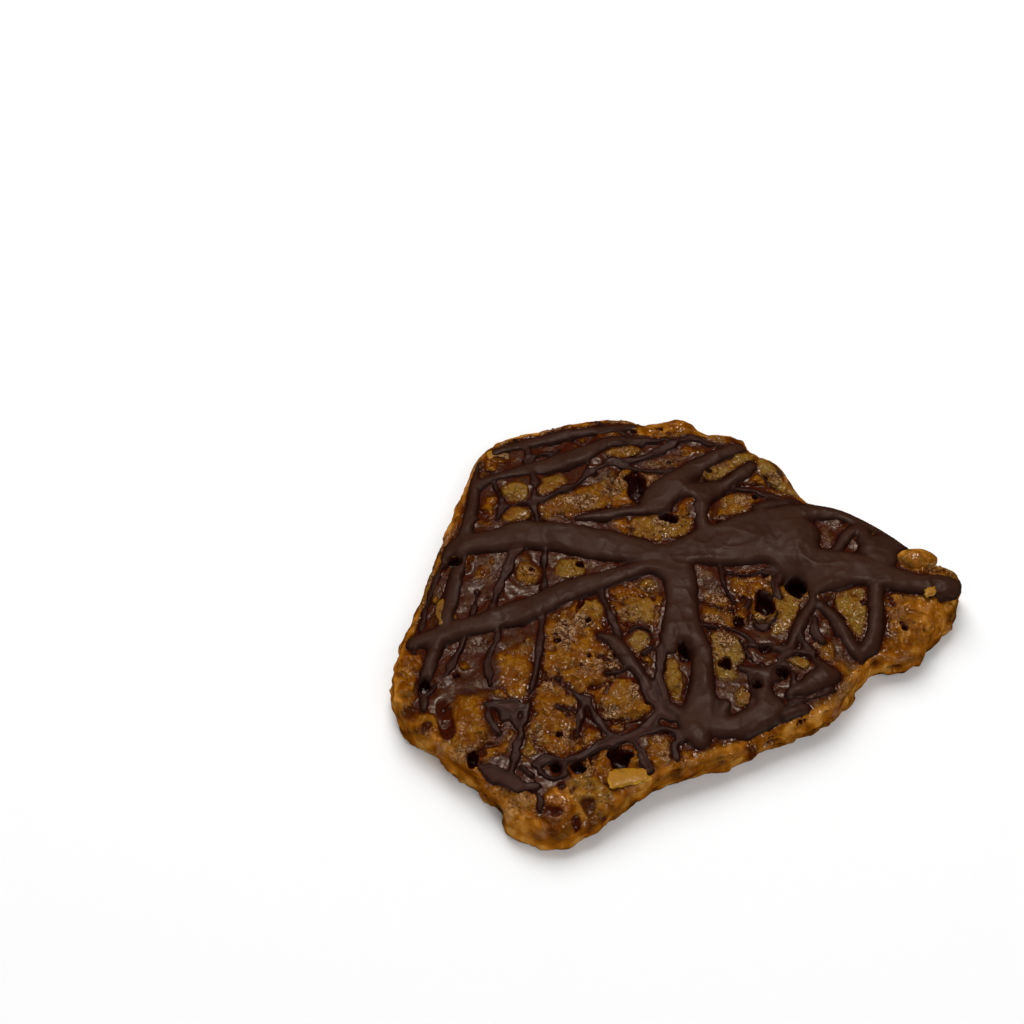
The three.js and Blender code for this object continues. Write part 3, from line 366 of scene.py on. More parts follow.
# The shell of chocolate: its depth at the rim and inside it, the lowest that it goes, and its
# least thickness.
SHELL_AT_RIM, SHELL_INSIDE, SHELL_LOWEST, SHELL_LEAST = 0.12, 0.7, 0.6, 0.08

# Crumbs: what x, y, radius and tone are drawn between, and how far they keep from the rim and
# from the chocolate.
CRUMB_RANGES = [(-38, 38), (-34, 34), (0.10, 0.24), (0, 1)]
CRUMB_FROM_RIM, CRUMB_FROM_CHOCOLATE = 0.4, 0.2

# The millimetres between points along the outline and along a stroke.
OUTLINE_STEP, STROKE_STEP = 1.5, 0.35

# How finely things are cut up: the cells of the top map, the slab's grid and the rows down its
# side, the points around and over a crumb, a large lump and a flake, and how many crumbs are
# drawn at once.
CELL = 0.25
MAP_HALF_X, MAP_HALF_Y = 39.2, 35.6
LONG_CELLS, SHORT_CELLS, SIDE_ROWS = 300, 200, 14
CRUMB_ROWS, LUMP_ROWS, FLAKE_ROWS = (8, 6), (36, 20), (28, 12)
DRAWN_AT_ONCE = 64

# The numbers that each point of caramel has for its material.
# The fourth mask is painted shade: darker in dips, in pits and beside the chocolate on the top, in
# sunk holes and between layers on the cut side, and in the blisters of the base.
MASKS = ("almond", "froth", "tone", "recess_shade", "smear", "side")

# What a place on the top has: height, and how far it is inside broad strokes, threads, either.
Top = namedtuple("Top", "x y height broad thin inside")
# A place in its own cell: gap to the next cell, distance and offset from the cell's middle,
# and three random numbers of the cell.
Cell = namedtuple("Cell", "gap away across along random")


# ------------------------------------------------------------- numbers to places

def ease(t):
    """Smooth step: 0 below 0, 1 above 1, and six t to the fifth less fifteen to the fourth
    plus ten to the third between."""
    t = np.clip(t, 0.0, 1.0)
    return t * t * t * (t * (6.0 * t - 15.0) + 10.0)


def mixed(low, high, share):
    """What lies a share of the way from low to high."""
    return low + (high - low) * share


def bell(distance, radius):
    """One at distance nought, falling as e to the minus square of distance over radius."""
    return np.exp(-((distance / radius) ** 2))


def oval(x, y, middle_x, middle_y, radius_x, radius_y):
    """Distance from the middle of an oval as a share of its radius: one on its border."""
    return np.hypot((x - middle_x) / radius_x, (y - middle_y) / radius_y)


def corner_random(i, j, seed):
    """A repeatable number from 0 to 1 for each pair of whole numbers: both are multiplied by
    large odd numbers, added, and folded twice."""
    mask = 0xFFFFFFFF
    word = (i * 374761393 + j * 668265263 + seed * 974634777) & mask
    word = ((word ^ (word >> 13)) * 1274126177) & mask
    return ((word ^ (word >> 16)) & 0xFFFFFF) / float(0xFFFFFF)


def soft_noise(x, y, size, seed):
    """Smooth noise from -1 to 1: a random value on each corner of a square grid of that size,
    eased from corner to corner."""
    u, v = np.asarray(x) / size, np.asarray(y) / size
    i, j = np.floor(u).astype(np.int64), np.floor(v).astype(np.int64)
    a, b = ease(u - i), ease(v - j)
    low = mixed(corner_random(i, j, seed), corner_random(i + 1, j, seed), a)
    high = mixed(corner_random(i, j + 1, seed), corner_random(i + 1, j + 1, seed), a)
    return 2.0 * mixed(low, high, b) - 1.0


def fractal(x, y, size, seed, octaves=3, share=0.5):
    """Sum of soft noises, each half the size and a share of the strength of the one before,
    turned by 37 degrees so that their grids don't line up."""
    total, strength = 0.0, 1.0
    for k in range(octaves):
        total = total + strength * soft_noise(x, y, size, seed + k)
        x, y = 0.8 * x - 0.6 * y, 0.6 * x + 0.8 * y
        size, strength = size / 2.0, strength * share
    return total


def wrinkle(x, y, size, seed):
    """Winding ridges, about -0.5 to 0.5: one less the size of a soft noise, squared, at places
    that another noise has shifted."""
    wander = 0.4 * size
    x, y = (x + wander * soft_noise(x, y, size, seed + 50),
            y + wander * soft_noise(x, y, size, seed + 60))
    return (1 - np.minimum(1, 2.2 * abs(soft_noise(x, y, size, seed)))) ** 2 - 0.4


def cells(x, y, size, seed):
    """Irregular cells: each place belongs to the nearest of the random points, of which each
    square of that size has one."""
    u, v = x / size, y / size
    i, j = np.floor(u).astype(np.int64), np.floor(v).astype(np.int64)
    first, second = np.full(u.shape, 9.0), np.full(u.shape, 9.0)
    across, along = np.zeros(u.shape), np.zeros(u.shape)
    own = [np.zeros(u.shape) for _ in range(3)]
    for di in (-1, 0, 1):
        for dj in (-1, 0, 1):
            a, b = i + di, j + dj
            du = u - a - 0.5 - 0.8 * (corner_random(a, b, seed) - 0.5)
            dv = v - b - 0.5 - 0.8 * (corner_random(a, b, seed + 1) - 0.5)
            away = np.hypot(du, dv)
            near = away < first
            second = np.where(near, first, np.minimum(second, away))
            first = np.where(near, away, first)
            across, along = np.where(near, du, across), np.where(near, dv, along)
            own = [np.where(near, corner_random(a, b, seed + 2 + k), o) for k, o in enumerate(own)]
    return Cell((second - first) * size, first * size, across * size, along * size, own)


def smooth_path(corners, spacing=None, count=None):
    """Centripetal Catmull-Rom curve through the corners: between two of them a cubic whose
    end slopes come from their neighbours, weighed by the root of the spacing. The result
    has evenly spaced points, and any further columns, such as a width, follow along."""
    p = np.array(corners, float)
    ends = np.vstack([2 * p[0] - p[1], p, 2 * p[-1] - p[-2]])
    dt = np.maximum(np.linalg.norm(np.diff(ends[:, :2], axis=0), axis=1), 1e-6) ** 0.5
    d0, d1, d2 = dt[:-2, None], dt[1:-1, None], dt[2:, None]
    p0, p1, p2, p3 = ends[:-3], ends[1:-2], ends[2:-1], ends[3:]
    start = d1 * ((p1 - p0) / d0 - (p2 - p0) / (d0 + d1) + (p2 - p1) / d1)
    stop = d1 * ((p2 - p1) / d1 - (p3 - p1) / (d1 + d2) + (p3 - p2) / d2)
    t = np.linspace(0, 1, 24, endpoint=False)[None, :, None]
    p1, p2, start, stop = (a[:, None, :] for a in (p1, p2, start, stop))
    curve = ((2 * t**3 - 3 * t**2 + 1) * p1 + (t**3 - 2 * t**2 + t) * start
             + (3 * t**2 - 2 * t**3) * p2 + (t**3 - t**2) * stop)
    curve = np.vstack([curve.reshape(-1, p.shape[1]), p[-1]])
    step = np.linalg.norm(np.diff(curve[:, :2], axis=0), axis=1)
    length = np.concatenate([[0.0], np.cumsum(step)])
    if count is None:
        count = max(2, int(round(length[-1] / spacing)))
    even = np.linspace(0, length[-1], count + 1)
    return np.stack([np.interp(even, length, column) for column in curve.T], 1)


def blended_grid(front, back, left, right):
    """Coons patch: both ways between opposite sides, less the plane of the four corners."""
    u = np.linspace(0, 1, len(front))[None, :, None]
    v = np.linspace(0, 1, len(left))[:, None, None]
    between = (1 - v) * front[None] + v * back[None] + (1 - u) * left[:, None] + u * right[:, None]
    flat = ((1 - u) * (1 - v) * front[0] + u * (1 - v) * front[-1]
            + (1 - u) * v * back[0] + u * v * back[-1])
    return between - flat


def blurred(field, radius):
    """Each place of a map becomes the average of its surroundings, weighed by a bell of that
    radius, first one way and then the other."""
    def weights(n):
        """One row for each of n places in line, which sums to one."""
        gap = (np.arange(n)[:, None] - np.arange(n)) * CELL / radius
        bells = np.exp(-gap * gap / 2)
        return bells / bells.sum(1, keepdims=True)
    return weights(field.shape[0]) @ field @ weights(field.shape[1]).T


# ------------------------------------------------------------------ the caramel

@functools.lru_cache(maxsize=None)
def outline_ring(spacing):
    """The whole outline anticlockwise as evenly spaced points."""
    runs = [smooth_path(run, spacing) for run in (FRONT, RIGHT, BACK[::-1], LEFT[::-1])]
    return np.vstack([run[:-1] for run in runs])


def outline_gap(x, y):
    """How far inside the outline each place lies: the distance to the nearest of its sides,
    less than nought outside."""
    ring = outline_ring(OUTLINE_STEP)
    nearest = np.full(x.shape, 1e9)
    crossings = np.zeros(x.shape, bool)
    for a, b in zip(ring, np.roll(ring, -1, axis=0)):
        d = b - a
        t = np.clip(((x - a[0]) * d[0] + (y - a[1]) * d[1]) / (d @ d), 0, 1)
        nearest = np.minimum(nearest, (x - a[0] - t * d[0]) ** 2 + (y - a[1] - t * d[1]) ** 2)
        if a[1] != b[1]:
            crossings ^= ((a[1] > y) != (b[1] > y)) & (x < a[0] + (y - a[1]) * d[0] / d[1])
    return np.where(crossings, 1.0, -1.0) * np.sqrt(nearest)


@functools.lru_cache(maxsize=None)
def cookie_sizes():
    """The sizes of the settings in millimetres, as one tuple."""
    s = bpy.context.scene.florentine_caramel
    return tuple(round(v / MM, 6) for v in (s.middle, s.edge, s.rim, s.flake_size))


def softness(x, y):
    """How soft and swollen the rim is at each place: a bell round each nub."""
    swells = [soft * bell(np.hypot(x - nx, y - ny), NUB_REACH) for nx, ny, soft in NUBS]
    return np.max(swells, axis=0)


def pit_gap(x, y, pit):
    """Distance from the middle of a pit as a share of its radius, which noise makes uneven."""
    return oval(x, y, *pit[:4]) * (1 + 0.36 * soft_noise(x, y, 1.3, 195))


def rim_radius(x, y):
    """Radius of the rounded rim: small along the cuts, larger round each nub."""
    rim = cookie_sizes()[2]
    return rim + (NUB_RADIUS - rim) * softness(x, y)


def caramel(x, y):
    """Height of the upper surface, and masks for almond, froth, tone and bareness.

    Broad swells carry a mosaic of flakes: each irregular cell is a leaning, slightly domed
    plate with rounded shoulders, and between plates the caramel sinks into a groove.
    The named patches replace the mosaic where they lie. Wrinkles (one less the size of a
    noise, squared), small domed crumbs and bubble pits go on top, and the rim rounds over."""
    middle, edge, _, flake = cookie_sizes()
    inward = outline_gap(x, y)
    base = middle + (edge - middle) * np.exp(-np.maximum(inward, 0) / 9.0)
    base = base + 0.36 * fractal(x, y, 9.0, 101, 2)

    wx = x + 1.0 * soft_noise(x, y, 3.1, 111) + 0.35 * soft_noise(x, y, 1.3, 112)
    wy = y + 1.0 * soft_noise(x, y, 3.1, 113) + 0.35 * soft_noise(x, y, 1.3, 114)
    mosaic = cells(wx, wy, flake, 121)
    kind, lift, turn = mosaic.random
    shoulder = ease(mosaic.gap / (1.3 + 0.6 * soft_noise(x, y, 2.7, 122)))
    turn = turn * math.tau
    lean = 0.11 * (mosaic.across * np.cos(turn) + mosaic.along * np.sin(turn))
    plate = 0.42 * (lift - 0.45) + lean + 0.12 * (1 - (mosaic.away / (0.7 * flake)) ** 2)
    plate = plate + 0.20 * fractal(x, y, 2.4, 123, 3)
    groove = np.maximum(0, 0.14 + 0.50 * soft_noise(x, y, 3.2, 131))
    relief = shoulder * plate - (1 - shoulder) * groove
    almond = shoulder * ease((kind - 0.6) / 0.2) * 0.6
    froth = 0.6 * ease(0.05 + 1.1 * fractal(x, y, 3.4, 141, 2))
    tone = 0.5 * kind + 0.5 * lift
    bare = 0 * x

    for k, (px, py, length, width, degrees, up, nut, foam) in enumerate(PATCHES.values()):
        a = math.radians(degrees)
        dx = (x - px) * math.cos(a) + (y - py) * math.sin(a)
        dy = (y - py) * math.cos(a) - (x - px) * math.sin(a)
        close = (abs(dx) < length) & (abs(dy) < width)
        dx, dy = dx[close], dy[close]
        wobble = 1 + 0.22 * soft_noise(dx, dy, 1.9, 151 + k)
        wobble = wobble + 0.12 * soft_noise(dx, dy, 0.8, 251 + k)
        square = 2.4
        r = ((2 * abs(dx) / length) ** square + (2 * abs(dy) / width) ** square) ** (1 / square)
        r = r / wobble
        soft = 0.75 - 0.55 * nut
        inside = 1 - ease((r - 1.0 + soft / 2) / soft)
        level = up + 0.22 * (1 - r * r) + 0.19 * fractal(dx, dy, 2.5, 351 + k, 3)
        relief[close] = mixed(relief[close], level, inside) - 0.24 * nut * bell(r - 1.16, 0.15)
        own = corner_random(np.int64(k), np.int64(1), 5)
        almond[close] = mixed(almond[close], nut, inside)
        froth[close] = mixed(froth[close], 0.4 * foam, inside)
        tone[close] = mixed(tone[close], 0.45 + 0.5 * own, inside)
        bare[close] = np.maximum(bare[close], inside)

    ragged_x = x + 0.5 * soft_noise(x, y, 1.3, 155)
    ragged_y = y + 0.5 * soft_noise(x, y, 1.3, 156)
    for *place, amount in FROTHS:
        spot = bell(oval(ragged_x, ragged_y, *place), 0.95)
        froth = np.maximum(froth, amount * np.minimum(1, 1.5 * spot))
    calm = softness(x, y)
    froth, relief = froth * (1 - 0.45 * calm), relief * (1 - 0.15 * calm)
    grit = cells(x + 0.3 * soft_noise(x, y, 0.9, 161), y, 1.0, 171)
    crumb = 0.24 * (1 - (grit.away / 0.65) ** 2) * (0.35 + grit.random[0]) - 0.08
    fold = wrinkle(x, y, 1.9, 175) + 0.6 * wrinkle(x, y, 1.0, 176)
    relief = relief + froth * (crumb + 0.20 * fold)
    relief = relief + (0.07 + 0.06 * froth) * fractal(x, y, 1.2, 181, 2)
    relief = relief + 0.14 * (1 - froth) * wrinkle(x, y, 2.8, 183)

    bubbles = cells(x, y, 2.9, 191)
    size, kind, depth = bubbles.random
    radius = 0.25 + 0.40 * size
    popped = (kind > 0.84) * ease((inward - 0.9) / 0.8)
    open_bubble = popped * ease((radius - bubbles.away) / 0.22)
    relief = relief - (0.4 + 0.6 * depth) * open_bubble
    relief = relief + 0.10 * popped * bell(bubbles.away - radius - 0.1, 0.14)
    for pit in PITS:
        r, depth = pit_gap(x, y, pit), pit[4]
        bowl = np.sqrt(np.clip(1.25 - r * r, 0, 1)) * ease((1.2 - r) / 0.25)
        bowl = mixed(1.15 * bell(r, 0.85), bowl, min(1, max(0, depth - 0.8)))
        relief = relief - depth * bowl + 0.04 * bell(r - 1.35, 0.18)

    roll = rim_radius(x, y)
    short = np.clip(1 - inward / roll, 0, 1)
    down = 0.62 * roll * (1 - np.sqrt(1 - short * short))
    height = base + relief * np.clip(0.25 + inward / 1.6, 0, 1) - down
    return np.maximum(height, LEAST_HEIGHT), almond, froth, tone, bare


# -------------------------------------------------------------- maps of the top

@functools.lru_cache(maxsize=None)
def top_map():
    """The top of the piece on an even grid."""
    x, y = np.meshgrid(np.arange(-MAP_HALF_X, MAP_HALF_X, CELL),
                       np.arange(-MAP_HALF_Y, MAP_HALF_Y, CELL))
    broad, thin = chocolate_gaps(x, y)
    return Top(x, y, caramel(x, y)[0], broad, thin, np.maximum(broad, thin))


def looked_up(field, x, y):
    """Value of a map at any places, in proportion between its four nearest grid points."""
    rows, columns = field.shape
    u = np.clip((x + MAP_HALF_X) / CELL, 0, columns - 1.001)
    v = np.clip((y + MAP_HALF_Y) / CELL, 0, rows - 1.001)
    i, j = u.astype(int), v.astype(int)
    a, b = u - i, v - j
    return (field[j, i] * (1 - a) * (1 - b) + field[j, i + 1] * a * (1 - b)
            + field[j + 1, i] * (1 - a) * b + field[j + 1, i + 1] * a * b)


def stroke_gap(x, y, corners):
    """How far inside a stroke each place lies: half its width less the distance to its
    middle line, whichever point of the line makes that the most."""
    far = 6.0
    path = smooth_path(corners, STROKE_STEP)
    reach = path[:, 2].max() / 2 + 3.0
    low, high = path.min(0) - reach, path.max(0) + reach
    close = (x > low[0]) & (x < high[0]) & (y > low[1]) & (y < high[1])
    inside = np.full(x.shape, -far)
    gx, gy = x[close][:, None] - path[:, 0], y[close][:, None] - path[:, 1]
    inside[close] = np.maximum((path[:, 2] / 2 - np.hypot(gx, gy)).max(1), -far)
    return inside


def pooled(strokes, sharp, x, y):
    """How far inside any of the strokes each place lies. They are joined with a soft
    maximum, the log of the sum of their exponentials, which fills their corners."""
    total = sum(np.exp(sharp * stroke_gap(x, y, corners)) for corners in strokes.values())
    return np.log(total) / sharp


def chocolate_gaps(x, y):
    """How far inside the broad strokes and inside the threads each place lies. Noise makes
    the borders waver, the rim of the piece stays free but for its right end and the back
    edge beside it, and bubble pits stay open."""
    broad = pooled(BANDS, BAND_JOIN, x, y)
    broad = broad + 0.16 * soft_noise(x, y, 2.3, 201) + 0.10 * soft_noise(x, y, 0.9, 202)
    thin = pooled(THREADS, THREAD_JOIN, x, y) - 0.04
    thin = thin + 0.28 * soft_noise(x, y, 1.7, 203) + 0.16 * soft_noise(x, y, 0.8, 204) - 0.03
    nearer = sum(amount * bell(oval(x, y, *place), 1.0) for *place, amount in NEAR_RIM)
    most = 1.2 * (outline_gap(x, y) - 0.45 + nearer)
    for *place, _ in PITS:
        most = np.minimum(most, (oval(x, y, *place) - 0.90) * min(place[2:]) * 2.6)
    return np.minimum(broad, most), np.minimum(thin, most)


@functools.lru_cache(maxsize=None)
def film_map():
    """How strongly a thin film of chocolate covers the caramel. Its level is highest beside
    the strokes and where much of the neighbourhood is covered, with the named films added,
    and the relief of the caramel stands out of it."""
    x, y, height, broad, thin, _ = top_map()
    beside = np.maximum(broad, thin - 0.1)
    crowd = blurred((beside > 0).astype(float), 2.8)
    level = 0.55 * bell(np.minimum(beside, 0), 0.8) + 1.1 * (crowd - 0.34)
    for *place, amount in FILMS:
        level = level + amount * bell(oval(x, y, *place), 0.85)
    level = level + 0.30 * fractal(x, y, 2.2, 221, 3)
    relief = height - blurred(height, 1.4)
    return ease((level - 0.30 - 0.9 * relief) / 0.42) * ease((outline_gap(x, y) - 0.2) / 1.8)


@functools.lru_cache(maxsize=None)
def coated_map():
    """Height of the caramel with its film of chocolate, which fills dips of less than a
    millimetre, rounds off small crests, and adds its own thickness."""
    x, y, height = top_map()[:3]
    fill = np.clip(blurred(height, 0.55) - height, -0.35, 0.30)
    return height + film_map() * (0.9 * fill + 0.10) * ease(outline_gap(x, y) / 1.5)


@functools.lru_cache(maxsize=None)
def chocolate_map():
    """Height of the poured chocolate. It lies on the caramel with its smaller lumps evened
    out. Its section rises from the border as a rounded lip, to full thickness a lip's width
    inside, and beyond the border it dives below the caramel. Threads are lower."""
    x, y, _, broad, thin, inside = top_map()
    height = coated_map()
    s = bpy.context.scene.florentine_chocolate
    thick, lip, low = s.thickness / MM, s.lip / MM, s.thread / MM
    wide = blurred(np.clip(broad, 0, 2), 0.8) / 1.6
    even, film = blurred(height, 1.7), blurred(height, 0.45)
    even, film = even + 0.10 * wide, film - 0.06 - 0.39 * np.clip(wide, 0, 1)
    sharp = 3.5
    seat = np.log(np.exp(sharp * even) + np.exp(sharp * film)) / sharp - 0.14
    seat = mixed(np.minimum(height, seat), seat, ease(outline_gap(x, y) / 2.2))
    crown = thick * (1 - (1 - np.clip(broad / lip, 0, 1)) ** 2) ** 0.6
    crown = crown + 0.05 * np.clip(broad - lip, 0, 3)
    crown = crown * (1 + 0.18 * soft_noise(x, y, 4.0, 211)) * mixed(0.66, 1.0, ease(wide / 0.8))
    strand = low * (1 - (1 - np.clip(thin / 0.36, 0, 1)) ** 2) ** 0.5
    strand = strand - 0.14 * ease((thin - 0.25) / 0.4)
    strand = strand * (0.78 + 0.30 * soft_noise(x, y, 2.6, 214))
    crown = (crown ** 3 + strand ** 3) ** (1 / 3)
    ripple = 0.06 * fractal(x, y, 2.0, 212, 2) + 0.13 * wrinkle(x + 0.4 * y, y, 3.6, 213)
    ripple = ripple + 0.09 * wrinkle(x, y - 0.3 * x, 1.9, 215)
    ripple = ripple * np.clip(inside / lip, 0, 1)
    return seat + np.where(inside > 0, crown + ripple, 2.3 * inside)


# ---------------------------------------------------------------- meshes

def new_piece(name, points, faces, material, masks):
    """A mesh object of points in millimetres, which rides on the body and stands for the
    CAD solid. Masks are named numbers for each point, which the material reads."""
    mesh = bpy.data.meshes.new(name)
    faces = [np.asarray(f, np.int64) for f in faces if len(f)]
    sizes = np.concatenate([np.full(len(f), f.shape[1]) for f in faces])
    loops = np.concatenate([f.ravel() for f in faces])
    mesh.vertices.add(len(points))
    mesh.vertices.foreach_set("co", (np.asarray(points, float) * MM).astype(np.float32).ravel())
    mesh.loops.add(len(loops))
    mesh.loops.foreach_set("vertex_index", loops.astype(np.int32))
    mesh.polygons.add(len(sizes))
    starts = np.concatenate([[0], np.cumsum(sizes)[:-1]])
    mesh.polygons.foreach_set("loop_start", starts.astype(np.int32))
    mesh.polygons.foreach_set("use_smooth", np.full(len(sizes), True))
    for key, values in masks.items():
        layer = mesh.attributes.new(key, "FLOAT", "POINT")
        layer.data.foreach_set("value", np.asarray(values, np.float32))
    mesh.update(calc_edges=True)
    if mesh.validate():
        raise RuntimeError(f"{name} has faces that don't hold together")
    mesh.materials.append(material)
    piece = bpy.data.objects.new(name, mesh)
    bpy.context.scene.collection.objects.link(piece)
    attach(piece, BODY)
    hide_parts(NODE)
    return piece


def wall(lower, upper):
    """Quads between two closed rings of point numbers that run anticlockwise."""
    return np.stack([lower, np.roll(lower, -1), np.roll(upper, -1), upper], 1)


def grid_faces(numbers):
    """Quads of a grid of point numbers, facing up."""
    return np.stack([numbers[:-1, :-1], numbers[:-1, 1:], numbers[1:, 1:], numbers[1:, :-1]],
                    -1).reshape(-1, 4)


def rim_of(numbers):
    """The border of a grid of point numbers, anticlockwise from its first corner."""
    return np.concatenate([numbers[0, :-1], numbers[:-1, -1],
                           numbers[-1, :0:-1], numbers[:0:-1, 0]])


def closed_tube(rings, start, stop):
    """Points and faces of a skin over rings of points, closed at both ends by a fan."""
    count, around = rings.shape[:2]
    points = np.vstack([rings.reshape(-1, 3), start, stop])
    numbers = np.arange(count * around).reshape(count, around)
    quads = np.concatenate([wall(a, b) for a, b in zip(numbers[:-1], numbers[1:])])
    first, last = count * around, count * around + 1
    fans = [np.stack([np.roll(numbers[0], -1), numbers[0], np.full(around, first)], 1),
            np.stack([numbers[-1], np.roll(numbers[-1], -1), np.full(around, last)], 1)]
    return points, quads, np.concatenate(fans)


def gathered(parts):
    """Many small skins as the points and faces of one mesh."""
    points, quads, fans, shift = [], [], [], 0
    for p, q, f in parts:
        points.append(p)
        quads.append(q + shift)
        fans.append(f + shift)
        shift += len(p)
    return np.vstack(points), np.concatenate(quads), np.concatenate(fans)


def ragged(corners, count, seed):
    """A run of the outline, roughened across its own line by noise, with its ends left."""
    run = smooth_path(corners, count=count)
    ahead = np.gradient(run, axis=0)
    ahead /= np.linalg.norm(ahead, axis=1, keepdims=True)
    step = np.linalg.norm(np.diff(run, axis=0), axis=1)
    s = np.concatenate([[0], np.cumsum(step)])
    fade = np.minimum(1, np.minimum(s, s[-1] - s) / 2)
    push = fade * (0.26 * fractal(s, 0 * s + seed * 37.7, 2.3, seed, 3, 0.6))
    return run + np.stack([ahead[:, 1], -ahead[:, 0]], 1) * push[:, None]


def slab_top():
    """Points and masks of the upper grid, which is stretched between the four runs of the
    outline. Under the chocolate the caramel keeps just below its surface."""
    front, back = ragged(FRONT, LONG_CELLS, 301), ragged(BACK, LONG_CELLS, 302)
    left, right = ragged(LEFT, SHORT_CELLS, 303), ragged(RIGHT, SHORT_CELLS, 304)
    plan = blended_grid(front, back, left, right)
    x, y = plan[..., 0], plan[..., 1]
    height, almond, froth, tone, bare = caramel(x, y)
    height = height + looked_up(coated_map() - top_map().height, x, y)
    inward = outline_gap(x, y)
    smear = looked_up(film_map(), x, y) * (1 - 0.85 * bare)
    beside = looked_up(top_map().inside, x, y)
    wide_dip = looked_up(blurred(coated_map(), 1.5), x, y) - height
    fine_dip = looked_up(blurred(coated_map(), 0.6), x, y) - height
    # Painted shade: the top is darkened where it lies below its smoothed surroundings, in a band
    # beside the chocolate strokes, and in the pits.
    recess_shade = (wide_dip / 1.1 + np.maximum(fine_dip, 0) / 0.45) * ease(inward / 2.4 - 0.2)
    recess_shade = recess_shade + 0.60 * bell(beside, 0.45) * ease(inward / 1.5)
    for pit in PITS:
        shade = min(1.4, 0.1 + 0.8 * pit[4])
        recess_shade = np.maximum(recess_shade, shade * (1 - ease((pit_gap(x, y, pit) - 0.6) / 0.9)))
    # Near the rim and on the soft nubs the top takes the lighter colours of the cut side, partly
    # its own paler caramel and partly painted light.
    side = np.maximum(1 - ease(inward / 1.4), 1.1 * softness(x, y) - 0.1)
    under = np.minimum(height, looked_up(chocolate_map(), x, y) - BELOW_CHOCOLATE)
    height = mixed(height, under, ease(beside / 0.35) * ease(inward / 0.8))
    masks = np.stack([almond, froth, tone, recess_shade, smear, 0.8 * side], -1)
    return np.stack([x, y, height], -1).reshape(-1, 3), masks.reshape(-1, len(MASKS))


def outward(ring):
    """Level directions that point out of a closed ring of points, each square to the line
    between its fifth neighbours."""
    wide = np.roll(ring, -5, 0) - np.roll(ring, 5, 0)
    out = np.stack([wide[:, 1], -wide[:, 0]], 1)
    return out / np.linalg.norm(out, axis=1, keepdims=True)


def slab_side(top, smear):
    """Points and masks of the rows that hang from the rim, and the ways out from it.

    The side bulges like a half sine. Each point is pushed out or in by layers, cells four
    millimetres long and one high that stand proud or shy like cut flakes, by noise, and by
    long bubbles that are sunk where a cell's random number is high. The last row is the
    foot, which is drawn in."""
    step = np.linalg.norm(np.roll(top[:, :2], -1, 0) - top[:, :2], axis=1)
    s = np.concatenate([[0], np.cumsum(step)[:-1]])
    out, calm = outward(top[:, :2]), softness(top[:, 0], top[:, 1])
    points, masks = [], []
    for level in 1 - np.arange(1, SIDE_ROWS + 1) / SIDE_ROWS:
        z = top[:, 2] * level
        layer = cells(s + 1.1 * soft_noise(s, z, 2.6, 311),
                      2.6 * z + 1.2 * soft_noise(s, z, 2.0, 312), 4.8, 313)
        hole = cells(0.45 * s + 0.3 * soft_noise(s, z, 1.6, 322), z, 1.6, 321)
        proud, kind, tone = layer.random
        radius = 0.30 + 0.45 * hole.random[0]
        sunk = (hole.random[1] > 0.58) * ease((radius - hole.away) / 0.40)
        push = (0.42 * (proud - 0.5) * ease(layer.gap / 1.4)
                + 0.26 * fractal(s, z * 1.3, 3.4, 331, 2)
                - 0.16 * (1 - ease(layer.gap / 1.1)) - 0.75 * sunk)
        push = push * min(1.0, 5 * (1 - level)) * (1 - 0.5 * calm)
        push = push + SIDE_BULGE * math.sin(math.pi * level)
        if level == 0:
            push = np.full(len(top), -FOOT_IN)
        points.append(np.column_stack([top[:, :2] + out * push[:, None], z]))
        nut = ease((kind - 0.6) / 0.2) * ease(layer.gap / 0.5) * (1 - sunk)
        # Painted shade: sunk holes, the gaps between layers and places pushed in are darker, and
        # places that stand out are lighter; this goes in the fourth mask.
        dark = 0.50 * sunk * (1 - 0.3 * hole.random[2])
        dark = dark + 0.12 * (1 - ease(layer.gap / 0.6)) - 0.25 * push
        # The last column gives the cut side the lighter side colours, partly painted light.
        masks.append(np.column_stack([
            0.40 * nut, 0.15 + 0.25 * soft_noise(s, z, 2.0, 341), 0.35 + 0.4 * tone, dark,
            0.6 * smear * ease(1 - 2.4 * (1 - level)), 0.95 - 0.3 * nut]))
    return points, masks, out


